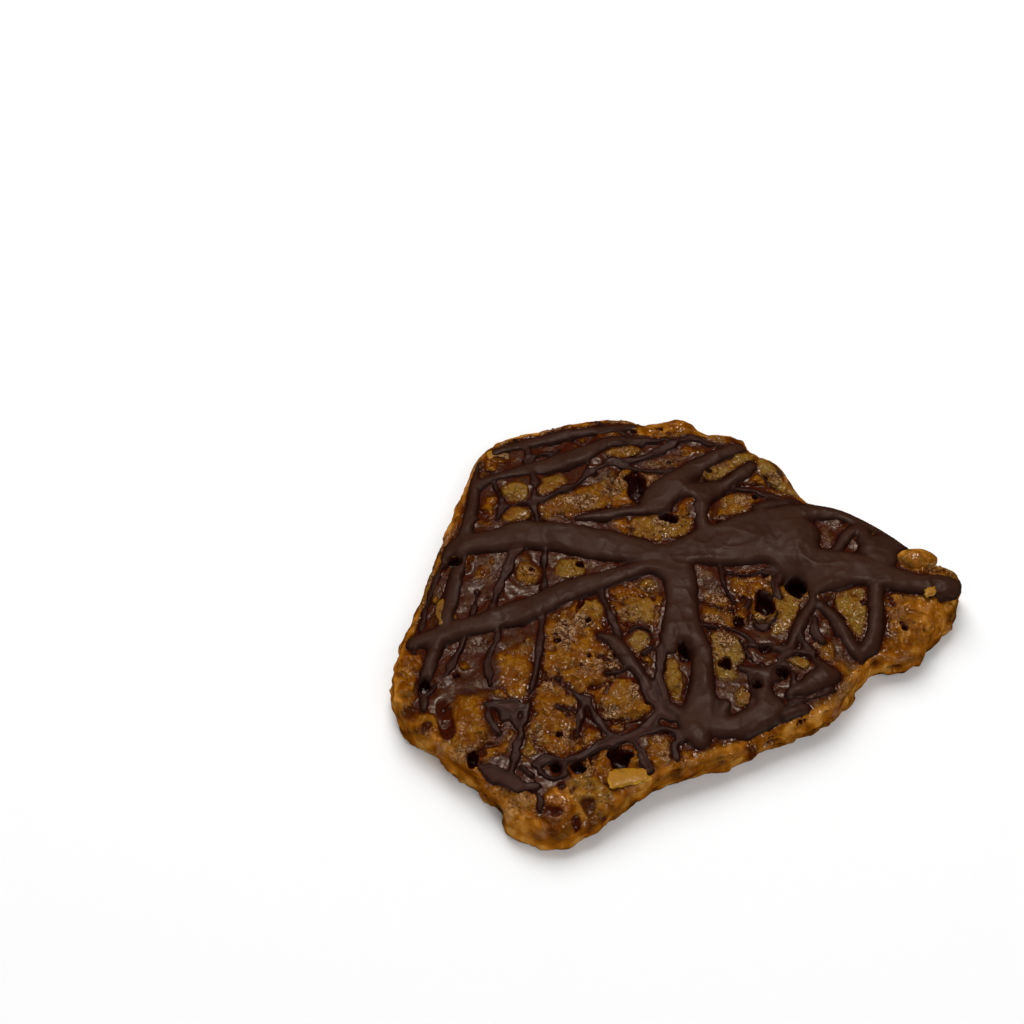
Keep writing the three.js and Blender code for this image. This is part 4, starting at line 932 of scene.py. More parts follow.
def slab_base(upper, foot, out, start):
    """Points, masks, quads and corners of the base, whose new points count on from start.
    Every second point of the foot carries on as the border of a coarser grid, on which
    blisters stand up into the slab as domes."""
    border = np.column_stack([foot[::2, :2] - out[::2] * 0.25, np.zeros(len(foot) // 2)])
    ring = np.arange(start, start + len(border))
    after, first, middle = np.roll(ring, -1), upper[::2], upper[1::2]
    last = np.roll(first, -1)
    corners = [np.stack(corner, 1) for corner in ((ring, middle, first), (ring, after, middle),
                                                  (after, last, middle))]
    m, n = LONG_CELLS // 2, SHORT_CELLS // 2
    loop = np.concatenate([border[:, :2], border[:1, :2]])
    base = blended_grid(loop[: m + 1], loop[m + n: 2 * m + n + 1][::-1],
                        loop[2 * m + n:][::-1], loop[m: m + n + 1])
    numbers = np.full((n + 1, m + 1), -1)
    numbers[0], numbers[-1] = ring[: m + 1], ring[m + n: 2 * m + n + 1][::-1]
    numbers[:, -1] = ring[m: m + n + 1]
    numbers[:, 0] = np.concatenate([ring[2 * m + n:], ring[:1]])[::-1]
    numbers[1:-1, 1:-1] = ring[-1] + 1 + np.arange((n - 1) * (m - 1)).reshape(n - 1, m - 1)
    x, y = base[1:-1, 1:-1, 0].ravel(), base[1:-1, 1:-1, 1].ravel()
    blister = cells(x, y, 3.1, 351)
    wide, high, kind = blister.random
    dome = ease((0.5 + 0.8 * wide - blister.away) / 0.7) * (high > 0.45)
    rise = 0.45 * dome + 0.12 * ease(fractal(x, y, 5.0, 361, 2))
    even = np.ones(len(x))
    # The blisters are darkened by painted shade in the fourth mask.
    masks = np.stack([0.4 * ease((kind - 0.6) / 0.2), 0.3 * even, 0.3 + 0.3 * wide, 0.6 * dome,
                      0 * even, 0.4 * even], 1)
    points = np.concatenate([border, np.stack([x, y, rise], 1)])
    return points, masks, grid_faces(numbers)[:, ::-1], np.concatenate(corners)


def slab_mesh():
    """The caramel slab as points, quads, corners and masks: the upper grid, the cut side that
    hangs from its rim, and the base."""
    top, top_masks = slab_top()
    numbers = np.arange(len(top)).reshape(SHORT_CELLS + 1, LONG_CELLS + 1)
    rim = rim_of(numbers)
    rows, row_masks, out = slab_side(top[rim], top_masks[rim, MASKS.index("smear")])
    rings = [rim] + [len(top) + len(rim) * k + np.arange(len(rim)) for k in range(SIDE_ROWS)]
    start = rings[-1][-1] + 1
    base, base_masks, base_quads, corners = slab_base(rings[-1], rows[-1], out, start)
    walls = [wall(lower, upper) for upper, lower in zip(rings, rings[1:])]
    quads = np.concatenate([grid_faces(numbers), *walls, base_quads])
    masks = np.vstack([top_masks, *row_masks, row_masks[-1][::2], base_masks])
    return np.vstack([top, *rows, base]), quads, corners, masks


def chocolate_mesh():
    """The poured chocolate: a closed shell over every grid cell near or inside it. The under
    side lies below both the caramel and the chocolate, where nothing shows. Two cells that
    touch at a corner alone get a third between them."""
    x, y, _, broad, thin, inside = top_map()
    height, top = coated_map(), chocolate_map()
    deep = mixed(SHELL_AT_RIM, SHELL_INSIDE, ease((outline_gap(x, y) - 0.1) / 1.5))
    under = np.maximum(np.minimum(top, height) - deep, SHELL_LOWEST)
    top = np.maximum(top, under + SHELL_LEAST)
    near = (inside > -0.42) & (outline_gap(x, y) > -0.1)
    keep = near[:-1, :-1] & near[1:, :-1] & near[:-1, 1:] & near[1:, 1:]
    for cut in (keep, keep[:, ::-1]):
        cut[:-1, 1:] |= cut[:-1, :-1] & cut[1:, 1:] & ~cut[:-1, 1:] & ~cut[1:, :-1]
    used = np.zeros(x.shape, bool)
    for dj in (0, 1):
        for di in (0, 1):
            used[dj: dj + keep.shape[0], di: di + keep.shape[1]] |= keep
    numbers = np.full(x.shape, -1)
    numbers[used] = np.arange(used.sum())
    below = numbers + used.sum()
    points = np.vstack([np.stack([f[used] for f in (x, y, top)], 1),
                        np.stack([f[used] for f in (x, y, under)], 1)])
    faces = [grid_faces(numbers)[keep.ravel()], grid_faces(below)[keep.ravel()][:, ::-1]]
    padded = np.pad(keep, 1)
    corner = {"front": ((0, 0), (0, 1)), "right": ((0, 1), (1, 1)),
              "back": ((1, 1), (1, 0)), "left": ((1, 0), (0, 0))}
    outer = {"front": padded[:-2, 1:-1], "right": padded[1:-1, 2:],
             "back": padded[2:, 1:-1], "left": padded[1:-1, :-2]}
    rows, cols = keep.shape
    for side, ((aj, ai), (bj, bi)) in corner.items():
        open_side = keep & ~outer[side]
        a = (slice(aj, aj + rows), slice(ai, ai + cols))
        b = (slice(bj, bj + rows), slice(bi, bi + cols))
        faces.append(np.stack([below[a][open_side], below[b][open_side],
                               numbers[b][open_side], numbers[a][open_side]], 1))
    slim = ease((thin - broad) / 0.5 + 0.5)[used]
    # Painted shade: the border of each stroke, where it rounds down, is darkened.
    border = 1 - ease(inside[used] + 0.05)
    bead, bead_quads, fans = named_lump(BEAD, 5.0, 0.10)
    masks = {key: np.concatenate([values, values, np.zeros(len(bead))])
             for key, values in (("slim", slim), ("border", border))}
    shift = len(points)
    quads = np.concatenate([*faces, bead_quads + shift])
    return np.vstack([points, bead]), quads, fans + shift, masks


def flake_skin(x, y, length, width, turn, lean_along, lean_across, lift, seed, thick):
    """An almond flake: rings of a teardrop outline, wider at one end, that shrink towards
    both faces as a rounded edge, bent like a shallow saddle and then leaned and turned."""
    around = np.linspace(0, math.tau, FLAKE_ROWS[0], endpoint=False)
    over = np.linspace(0, math.pi, FLAKE_ROWS[1])[1:-1]
    c, s = np.cos(around), np.sin(around)
    c, s = np.sign(c) * abs(c) ** 0.62, np.sign(s) * abs(s) ** 0.62
    nick = 1 + 0.28 * soft_noise(2 * c, 2 * s, 1.0, seed)
    nick = nick + 0.08 * soft_noise(6 * c, 6 * s, 1.0, seed + 1)
    size = np.sin(over)[:, None] ** 0.22 * nick
    px = length / 2 * c * size
    py = width / 2 * s * (1 - 0.12 * c) * size
    pz = -np.cos(over)[:, None] * thick / 2 + 0 * px
    pz = pz + 0.04 * (px / length) ** 2 * length - 0.10 * (py / width) ** 2 * width
    rings = np.stack([px, py, pz], -1)
    a, b, t = (math.radians(v) for v in (lean_across, lean_along, turn))
    lean_x = np.array([[1, 0, 0], [0, math.cos(a), -math.sin(a)], [0, math.sin(a), math.cos(a)]])
    lean_y = np.array([[math.cos(b), 0, math.sin(b)], [0, 1, 0], [-math.sin(b), 0, math.cos(b)]])
    spin = np.array([[math.cos(t), -math.sin(t), 0], [math.sin(t), math.cos(t), 0], [0, 0, 1]])
    placed = spin @ lean_y @ lean_x
    ground = looked_up(blurred(top_map().height, 0.8), np.array([x]), np.array([y]))[0]
    centre = np.array([x, y, ground + lift])
    ends = [centre + placed @ np.array([0, 0, sign * thick / 2]) for sign in (-1, 1)]
    return closed_tube(rings @ placed.T + centre, ends[0][None], ends[1][None])


def flake_edge(count):
    """One on the rounded border of a flake, nought on its faces: the sine of the way over."""
    over = np.linspace(0, math.pi, FLAKE_ROWS[1])[1:-1]
    rings = np.repeat(ease((np.sin(over) - 0.6) / 0.35), (count - 2) // len(over))
    return np.concatenate([rings, [0, 0]])


def crumb_skin(centre, radius, seed, rows=CRUMB_ROWS, shares=(1.0, 0.75), rough=0.28):
    """A small lump: a sphere of rings, pushed in and out by noise. The shares are its depth
    and its height, both against its width."""
    turn = np.linspace(0, math.tau, rows[0], endpoint=False)
    rise = np.linspace(0, math.pi, rows[1])[1:-1]
    c, s = np.cos(turn)[None], np.sin(turn)[None]
    ring, level = np.sin(rise)[:, None], -np.cos(rise)[:, None]
    push = 1 + rough * soft_noise(4 * ring * c + seed, 4 * ring * s + 3 * level, 1.3, 401)
    deep, high = shares
    rings = np.stack([ring * c * push, deep * ring * s * push, high * level * push], -1) * radius
    ends = [centre + np.array([0, 0, sign * high * radius]) for sign in (-1, 1)]
    return closed_tube(rings + centre, ends[0][None], ends[1][None])


def named_lump(lump, seed, rough):
    """One of the large lumps of the layout, as a finer skin of the same kind."""
    return crumb_skin(np.array(lump[:3]), lump[3], seed, LUMP_ROWS, lump[4:], rough)


# ---------------------------------------------------------------- materials

class Tree:
    """Adds nodes to a shader tree. A value for a socket is a number, a colour or an output."""

    def __init__(self, tree):
        """Start with no nodes."""
        self.tree = tree
        self.tree.nodes.clear()

    def fill(self, node, inputs):
        """Link or set sockets of a node. A colour of three numbers gets a fourth, one."""
        for key, value in inputs.items():
            socket = node.inputs[key]
            if isinstance(value, bpy.types.NodeSocket):
                self.tree.links.new(value, socket)
            elif socket.type == "RGBA":
                socket.default_value = (*value, 1.0)
            else:
                socket.default_value = value

    def add(self, kind, inputs=None, out=0, **settings):
        """A new node's output, with its settings set first and then its sockets."""
        node = self.tree.nodes.new(kind)
        for key, value in settings.items():
            setattr(node, key, value)
        self.fill(node, inputs or {})
        return node.outputs[out]

    def group(self, tree, **inputs):
        """The outputs of a new node that holds a node group."""
        node = self.tree.nodes.new("ShaderNodeGroup")
        node.node_tree = tree
        self.fill(node, inputs)
        return node.outputs

    def math(self, operation, *values):
        """What an operation makes of its values."""
        return self.add("ShaderNodeMath", dict(enumerate(values)), operation=operation)

    def times(self, one, other):
        """Two values multiplied."""
        return self.math("MULTIPLY", one, other)

    def plus(self, one, other):
        """Two values added."""
        return self.math("ADD", one, other)

    def fit(self, value, low, high, to_low=0.0, to_high=1.0):
        """A value carried smoothly from one range to another, and held at its ends."""
        return self.add("ShaderNodeMapRange", {0: value, 1: low, 2: high, 3: to_low, 4: to_high},
                        interpolation_type="SMOOTHSTEP")

    def mask(self, name):
        """The number that each point of the mesh has under that name."""
        return self.add("ShaderNodeAttribute", out="Fac", attribute_name=name)

    def mottle(self, size, shift, detail=3.0):
        """Soft patches of that size in millimetres. Another shift gives other patches."""
        return self.group(mottle_group(), Size=size, Shift=shift, Detail=detail)["Value"]

    def mix(self, share, low, high):
        """The colour a share of the way from low to high."""
        return self.add("ShaderNodeMix", {0: share, 6: low, 7: high}, out=2, data_type="RGBA")

    def coats(self, body, layers):
        """A colour with others laid over it in turn, each by its share."""
        for share, coat in layers:
            body = self.mix(share, body, coat)
        return body

    def bump(self, height, strength, distance, **more):
        """The normal of a height, whose full swing is a distance in millimetres."""
        return self.add("ShaderNodeBump", {"Height": height, "Strength": strength,
                                           "Distance": distance * MM, **more})


def group_tree(name, **inputs):
    """A new node group that takes the named numbers, and their sockets inside it."""
    tree = bpy.data.node_groups.new(name, "ShaderNodeTree")
    for key, value in inputs.items():
        socket = tree.interface.new_socket(key, in_out="INPUT", socket_type="NodeSocketFloat")
        socket.default_value = value
    return Tree(tree), tree.nodes.new("NodeGroupInput").outputs


def finish_group(t, **outputs):
    """The node group, giving out the named values."""
    for key in outputs:
        t.tree.interface.new_socket(key, in_out="OUTPUT", socket_type="NodeSocketFloat")
    t.fill(t.tree.nodes.new("NodeGroupOutput"), outputs)
    return t.tree


@functools.lru_cache(maxsize=None)
def mottle_group():
    """Soft irregular patches from 0 to 1, of a size in millimetres."""
    t, given = group_tree("mottle", Size=2.0, Shift=0.0, Detail=3.0)
    place = t.add("ShaderNodeTexCoord", out="Object")
    scale = t.math("DIVIDE", 1 / MM, given["Size"])
    value = t.add("ShaderNodeTexNoise",
                  {"Vector": place, "W": given["Shift"], "Scale": scale,
                   "Detail": given["Detail"], "Roughness": 0.6}, noise_dimensions="4D")
    return finish_group(t, Value=value)


@functools.lru_cache(maxsize=None)
def froth_group():
    """Tiny domes and winding wrinkles of set syrup, of a size in millimetres: their height,
    and a mask of the lightest crests, which the caramel paints pale, partly as painted glints."""
    t, given = group_tree("froth", Size=0.6, Amount=0.5)
    place = t.add("ShaderNodeTexCoord", out="Object")
    wander = t.add("ShaderNodeTexNoise", {"Vector": place, "Scale": 0.8 / MM, "Detail": 2.0},
                   out="Color")
    moved = t.add("ShaderNodeVectorMath", {0: wander, 1: (-0.5, -0.5, -0.5)}, operation="ADD")
    moved = t.add("ShaderNodeVectorMath", {0: moved, "Scale": 0.6 * MM}, operation="SCALE")
    moved = t.add("ShaderNodeVectorMath", {0: place, 1: moved}, operation="ADD")
    scale = t.math("DIVIDE", 1 / MM, given["Size"])
    bead = t.add("ShaderNodeTexVoronoi", {"Vector": moved, "Scale": scale, "Smoothness": 0.3},
                 out="Distance", feature="SMOOTH_F1")
    dome = t.math("SUBTRACT", 1.0, t.times(bead, bead))
    wave = t.add("ShaderNodeTexNoise", {"Vector": moved, "Scale": t.times(scale, 0.7),
                                        "Detail": 1.0})
    fold = t.fit(t.math("ABSOLUTE", t.math("SUBTRACT", wave, 0.5)), 0.10, 0.0)
    fine = t.add("ShaderNodeTexNoise", {"Vector": moved, "Scale": 3.4 / MM, "Detail": 3.0})
    both = t.plus(t.times(dome, 0.55), t.times(fold, 0.9))
    height = t.times(t.plus(both, t.times(fine, 0.45)), given["Amount"])
    ring = t.fit(t.math("ABSOLUTE", t.math("SUBTRACT", bead, 0.32)), 0.20, 0.0)
    crest = t.math("MAXIMUM", ring, t.fit(fold, 0.60, 0.95))
    return finish_group(t, Height=height, Crest=crest)


def new_material(name):
    """A material, and its empty tree."""
    material = bpy.data.materials.new(name)
    material.use_nodes = True
    return material, Tree(material.node_tree)


def finish_material(t, settings):
    """The Principled shader with its sockets, and the output."""
    shader = t.add("ShaderNodeBsdfPrincipled", settings, out="BSDF")
    t.fill(t.tree.nodes.new("ShaderNodeOutputMaterial"), {"Surface": shader})


@functools.lru_cache(maxsize=None)
def caramel_material():
    """Glossy amber caramel. It is pale where an almond shows through, brown where chocolate has
    stained it, and beaded with fine froth whose pale crests are partly painted glints. Painted
    shade makes it dark and red in dips and pits and beside the chocolate. The cut side and the
    nubs are lighter, partly their own paler caramel and partly painted light, with painted
    golden and pale highlights."""
    s = bpy.context.scene.florentine_caramel
    material, t = new_material("caramel_glaze")
    almond, froth, tone, recess_shade, smear, side = (t.mask(name) for name in MASKS)
    wide, small, grain = t.mottle(3.4, 1.0), t.mottle(1.0, 4.0), t.mottle(0.4, 6.0)
    swell, broad = t.mottle(1.3, 4.0, 1.0), t.mottle(2.8, 9.0, 1.0)
    swell = t.plus(swell, t.times(side, t.math("SUBTRACT", broad, swell)))
    lively = t.times(t.fit(froth, 0.15, 0.7, 0.18, 1.0), t.fit(smear, 0.0, 1.0, 1.0, 0.16))
    beads = t.group(froth_group(), Size=0.58, Amount=lively)
    shade = t.plus(t.times(tone, 0.35), t.times(wide, 0.8))
    nut = t.times(almond, t.fit(small, 0.34, 0.58, 0.20, 0.95))
    # Painted highlight: pale patches on the cut side and the nubs, laid in the froth colour.
    pale_highlight = t.times(side, t.fit(wide, 0.52, 0.68, 0.0, 0.45))
    streak = t.times(almond, t.fit(grain, 0.56, 0.74, 0.0, 0.55))
    patch = t.times(t.fit(froth, 0.30, 0.80), t.fit(smear, 0.2, 1.0, 1.0, 0.28))
    body = t.coats(s.deep, (
        (t.fit(shade, 0.34, 0.62), s.amber),
        (t.fit(swell, 0.44, 0.64, 0.0, 0.9), s.honey),
        (t.fit(t.plus(small, grain), 0.95, 0.75, 0.0, 0.65), s.deep),
        (nut, s.almond),
        # The cut side and the nubs are lighter, partly as painted light.
        (t.times(side, t.fit(swell, 0.36, 0.58, 0.04, 1.0)), s.cut),
        # Painted highlight in golden patches on the cut side and the nubs.
        (t.times(side, t.fit(swell, 0.52, 0.64, 0.0, 0.9)), s.glow),
        (t.times(side, t.fit(swell, 0.42, 0.32, 0.0, 0.8)), s.groove),
        (t.times(pale_highlight, t.fit(small, 0.40, 0.60)), s.froth),
        (t.times(smear, t.fit(small, 0.30, 0.60, 1.0, 0.85)), s.smear),
        (t.times(streak, t.fit(smear, 0.2, 1.0, 1.0, 0.1)), s.froth),
        # Froth: pale crests, partly painted glints, over darker syrup between the beads, partly
        # painted shade.
        (t.times(patch, 0.75), t.mix(beads["Crest"], s.crust, s.froth)),
        # Painted shade in dips and pits and beside the chocolate, near black at the bottom of the
        # deepest.
        (t.fit(recess_shade, 0.0, 0.6), s.groove),
        (t.fit(recess_shade, 0.5, 1.4), s.recess_shade)))
    rough = t.plus(t.fit(grain, 0.3, 0.7, 0.08, 0.20), t.fit(smear, 0.3, 1.0, 0.0, 0.16))
    waves = t.times(swell, t.fit(smear, 0.0, 1.0, 1.0, 0.20))
    waves = t.times(waves, t.fit(wide, 0.40, 0.58, 0.35, 1.0))
    normal = t.bump(waves, 1.0, 0.80, Normal=t.bump(beads["Height"], 1.0, 0.22))
    finish_material(t, {
        "Base Color": body, "Roughness": rough, "Normal": normal, "Specular IOR Level": 0.18,
        "Subsurface Weight": 0.15, "Subsurface Radius": (1.0, 0.40, 0.10),
        "Subsurface Scale": 0.8 * MM,
    })
    return material


@functools.lru_cache(maxsize=None)
def chocolate_material():
    """Set dark chocolate: satin, with a faint bloom in patches, fine waves in its skin, and
    painted shade in dark red along the border of each stroke.
    """
    s = bpy.context.scene.florentine_chocolate
    material, t = new_material("dark_chocolate")
    wide, small, grain = t.mottle(5.0, 2.0), t.mottle(1.1, 7.0), t.mottle(0.35, 9.0, 2.0)
    body = t.coats(s.dark, (
        (t.fit(wide, 0.35, 0.65), s.light),
        (t.times(t.fit(small, 0.55, 0.75), 0.4), s.bloom),
        (t.times(t.mask("slim"), 0.7), s.plum),
        # Painted shade along the rounded border of each stroke.
        (t.mask("border"), s.border)))
    rough = t.plus(t.fit(wide, 0.3, 0.7, 0.32, 0.46), t.times(grain, 0.06))
    normal = t.bump(t.plus(t.times(small, 0.5), t.times(grain, 0.12)), 0.35, 0.25)
    finish_material(t, {"Base Color": body, "Roughness": rough, "Normal": normal,
                        "Specular IOR Level": 0.072})
    return material


@functools.lru_cache(maxsize=None)
def almond_material():
    """Toasted almond under a thin glaze: pale, browner in patches and small flecks, lighter on its
    rounded border as a painted highlight, and stained where it lies near chocolate."""
    s = bpy.context.scene.florentine_flakes
    material, t = new_material("toasted_almond")
    wide, small = t.mottle(2.2, 3.0), t.mottle(0.7, 5.0)
    beads = t.group(froth_group(), Size=0.5, Amount=0.35)
    edge, smear = t.mask("edge"), t.mask("smear")
    body = t.coats(s.pale, (
        (t.fit(wide, 0.45, 0.75), s.toast),
        (t.times(t.fit(small, 0.5, 0.75), 0.6), s.glaze),
        # Painted highlight on the rounded border of the flake.
        (t.times(edge, t.fit(small, 0.35, 0.60, 0.9, 0.3)), s.skin),
        (t.times(smear, t.fit(small, 0.3, 0.6, 0.9, 0.5)), s.stain)))
    finish_material(t, {"Base Color": body, "Roughness": t.fit(small, 0.3, 0.7, 0.22, 0.42),
                        "Normal": t.bump(beads["Height"], 0.6, 0.12),
                        "Specular IOR Level": 0.18})
    return material


def floor_material():
    """Matt white paper with the faintest mottle."""
    s = bpy.context.scene.florentine_stage
    material, t = new_material("white_paper")
    body = t.mix(t.times(t.mottle(60.0, 1.0), 0.15), s.floor, (0.9, 0.9, 0.9))
    finish_material(t, {"Base Color": body, "Roughness": 0.9, "Specular IOR Level": 0.1})
    return material


# ---------------------------------------------------------------- settings

def length_setting(name, text, default):
    """A length in metres."""
    return FloatProperty(name=name, description=text, default=default, unit="LENGTH", precision=5)


def colour_setting(name, text, default):
    """A colour of three numbers from 0 to 1."""
    return FloatVectorProperty(name=name, description=text, default=default, subtype="COLOR",
                               min=0.0, max=1.0)


def power_setting(name, text, default):
    """A light's power in watts."""
    return FloatProperty(name=name, description=text, default=default, min=0.0, unit="POWER")


class FlorentineCaramel(PropertyGroup):
    middle: length_setting("Middle", "Thickness in the middle of the piece", 0.0055)
    edge: length_setting("Edge", "Thickness at the cut edge", 0.0047)
    rim: length_setting("Rim", "Radius of the rounded upper rim", 0.0012)
    flake_size: length_setting("Flake size", "Usual width of a flake under the caramel", 0.0046)
    amber: colour_setting("Amber", "Caramel where it is thin", (0.134, 0.0325, 0.0003))
    deep: colour_setting("Deep", "Caramel where it is thick", (0.050, 0.0090, 0.0003))
    honey: colour_setting("Honey", "Lighter flecks in the caramel", (0.200, 0.070, 0.0020))
    almond: colour_setting("Almond", "Almond seen through the glaze", (0.175, 0.098, 0.014))
    # Lighter than the top: partly paler caramel, partly painted light that makes up for the shade
    # in which the side stands.
    cut: colour_setting("Cut side", "Caramel on the cut side", (0.380, 0.120, 0.0040))
    # Painted highlight: golden patches on the cut side and the nubs.
    glow: colour_setting("Glow", "Golden patches of the cut side", (0.560, 0.265, 0.0450))
    # Partly the pale colour of set froth and partly painted glints on its crests; also laid as
    # painted highlights on the cut side, and as pale streaks on almonds.
    froth: colour_setting("Froth", "Crests of the finest wrinkles", (0.400, 0.236, 0.125))
    # Partly painted shade between the beads of froth.
    crust: colour_setting("Crust", "Dark syrup between beads of froth", (0.078, 0.0250, 0.0050))
    smear: colour_setting("Smear", "Caramel under a film of chocolate", (0.027, 0.0055, 0.0020))
    # Painted shade in shallow dips and pits and beside the chocolate; it also darkens random
    # patches of the cut side.
    groove: colour_setting("Groove", "Shallow grooves", (0.038, 0.0052, 0.0009))
    # Painted shade at the bottoms of deep pits and the deepest dips.
    recess_shade: colour_setting("Hollow", "Bottoms of deep pits", (0.012, 0.0010, 0.0002))


class FlorentineChocolate(PropertyGroup):
    thickness: length_setting("Thickness", "Thickness of the broad strokes", 0.00072)
    lip: length_setting("Lip", "Width of their rounded border", 0.0014)
    thread: length_setting("Thread", "Thickness of the threads", 0.00042)
    dark: colour_setting("Dark", "The darker chocolate", (0.0275, 0.0093, 0.0048))
    light: colour_setting("Light", "The lighter chocolate", (0.0345, 0.0125, 0.0066))
    plum: colour_setting("Plum", "Threads, warmed by what lies below", (0.0400, 0.0125, 0.0090))
    # Painted shade along the rounded border of each stroke.
    border: colour_setting("Border", "Thin border of a stroke", (0.0130, 0.0026, 0.0012))
    bloom: colour_setting("Bloom", "Pale bloom in small patches", (0.0480, 0.0215, 0.0145))


class FlorentineFlakes(PropertyGroup):
    thickness: length_setting("Thickness", "Thickness of an almond flake", 0.00055)
    crumbs: IntProperty(name="Crumbs", description="Crumbs of set caramel", default=300, min=0)
    seed: IntProperty(name="Seed", description="Changes where the crumbs lie", default=23)
    pale: colour_setting("Pale", "Almond flesh", (0.290, 0.120, 0.0020))
    toast: colour_setting("Toast", "Toasted edge", (0.200, 0.068, 0.0010))
    # Painted highlight: a light colour on the rounded border of a flake.
    skin: colour_setting("Skin", "Dry thin border of a flake", (0.620, 0.350, 0.0300))
    glaze: colour_setting("Glaze", "Caramel on the almond", (0.190, 0.076, 0.0010))
    stain: colour_setting("Stain", "Chocolate on the almond", (0.035, 0.011, 0.004))


class FlorentineStage(PropertyGroup):
    floor: colour_setting("Floor", "Paper under the cookie", (0.90, 0.90, 0.90))
    key: power_setting("Key light", "Power of the soft light behind and above", 4.9)
    fill: power_setting("Fill light", "Power of the soft light in front", 1.7)
    gleam: power_setting("Gleam light", "Power of the small light that gives the gloss", 2.9)
    side_gleam: power_setting("Side gleam light", "Power of the small light on the left", 0.9)
    low_gleam: power_setting("Low gleam lights", "Power of the two small low lights in front", 1.2)
    gleam_colour: colour_setting("Gleam colour", "Colour of the small lights", (1.0, 0.84, 0.70))
    room: FloatProperty(name="Room light", description="Even light from all round",
                        default=0.20, min=0.0)
    lens: FloatProperty(name="Lens", description="Focal length in millimetres", default=60.0)


# ---------------------------------------------------------------- operators

class FLORENTINE_OT_slab(Operator):
    """Make the slab of caramel and flaked almonds"""
    bl_idname = "florentine.slab"
    bl_label = "Caramel Slab"

    def execute(self, context):
        """One piece of the slab's points, faces and six masks."""
        points, quads, corners, masks = slab_mesh()
        new_piece("caramel_slab", points, [quads, corners], caramel_material(),
                  dict(zip(MASKS, masks.T)))
        return {"FINISHED"}


class FLORENTINE_OT_drizzle(Operator):
    """Pour the chocolate: broad strokes, pools and thin threads"""
    bl_idname = "florentine.drizzle"
    bl_label = "Chocolate Drizzle"

    def execute(self, context):
        """One piece of the shell's points and faces, with its masks."""
        points, quads, fans, masks = chocolate_mesh()
        new_piece("chocolate_drizzle", points, [quads, fans], chocolate_material(),
                  masks)
        return {"FINISHED"}


class FLORENTINE_OT_flakes(Operator):
    """Set almond flakes into the caramel"""
    bl_idname = "florentine.flakes"
    bl_label = "Almond Flakes"

    def execute(self, context):
        """One skin for each flake of the layout, all in one piece."""
        s = context.scene.florentine_flakes
        thick = s.thickness / MM
        skins = [flake_skin(*flake, 600 + k, thick) for k, flake in enumerate(FLAKES)]
        # The rounded border of each flake, where the material paints a highlight.
        edge = np.concatenate([flake_edge(len(p)) for p, _, _ in skins])
        points, quads, fans = gathered(skins)
        smear = looked_up(film_map(), points[:, 0], points[:, 1])
        new_piece("almond_flakes", points, [quads, fans], almond_material(),
                  {"edge": edge, "smear": smear})
        return {"FINISHED"}


class FLORENTINE_OT_crumbs(Operator):
    """Strew crumbs of set caramel where there is froth, clear of the chocolate and a little in
    from the rim
    """
    bl_idname = "florentine.crumbs"
    bl_label = "Caramel Crumbs"

    def execute(self, context):
        """Places are drawn, and one is kept where it is free of chocolate and where the froth
        there is more than another drawn number. The glazed almond of the tip comes last."""
        s = context.scene.florentine_flakes
        random = np.random.default_rng(s.seed + 1)
        skins, tones = [], []
        while len(skins) < s.crumbs:
            x, y, radius, tone = (random.uniform(low, high, DRAWN_AT_ONCE)
                                  for low, high in CRUMB_RANGES)
            wanted = outline_gap(x, y) > CRUMB_FROM_RIM
            wanted &= looked_up(top_map().inside, x, y) < -CRUMB_FROM_CHOCOLATE
            froth = caramel(x, y)[2]
            wanted &= froth > random.uniform(0, 1, DRAWN_AT_ONCE)
            ground = looked_up(top_map().height, x, y)
            for k in np.nonzero(wanted)[0][: s.crumbs - len(skins)]:
                centre = np.array([x[k], y[k], ground[k] + 0.1 * radius[k]])
                skins.append(crumb_skin(centre, radius[k], float(k + len(skins))))
                tones.append(tone[k])
        skins.append(named_lump(TIP_NUT, 7.0, 0.03))
        tones.append(0.5)
        points, quads, fans = gathered(skins)
        each = np.repeat(tones, [len(p) for p, _, _ in skins])
        smear = looked_up(film_map(), points[:, 0], points[:, 1])
        large = np.arange(len(points)) >= len(points) - len(skins[-1][0])
        # The tip's almond takes the lighter side colours, partly painted light, with their painted
        # golden highlights.
        masks = {"almond": np.where(large, 0.55, 0.6 * ease((each - 0.7) / 0.2)), "tone": each,
                 "froth": 0.5 * ~large, "recess_shade": 0 * each, "side": 0.6 * large,
                 "smear": np.maximum(smear * ~large, 0.5 * ease((0.35 - each) / 0.2))}
        new_piece("caramel_crumbs", points, [quads, fans], caramel_material(), masks)
        return {"FINISHED"}


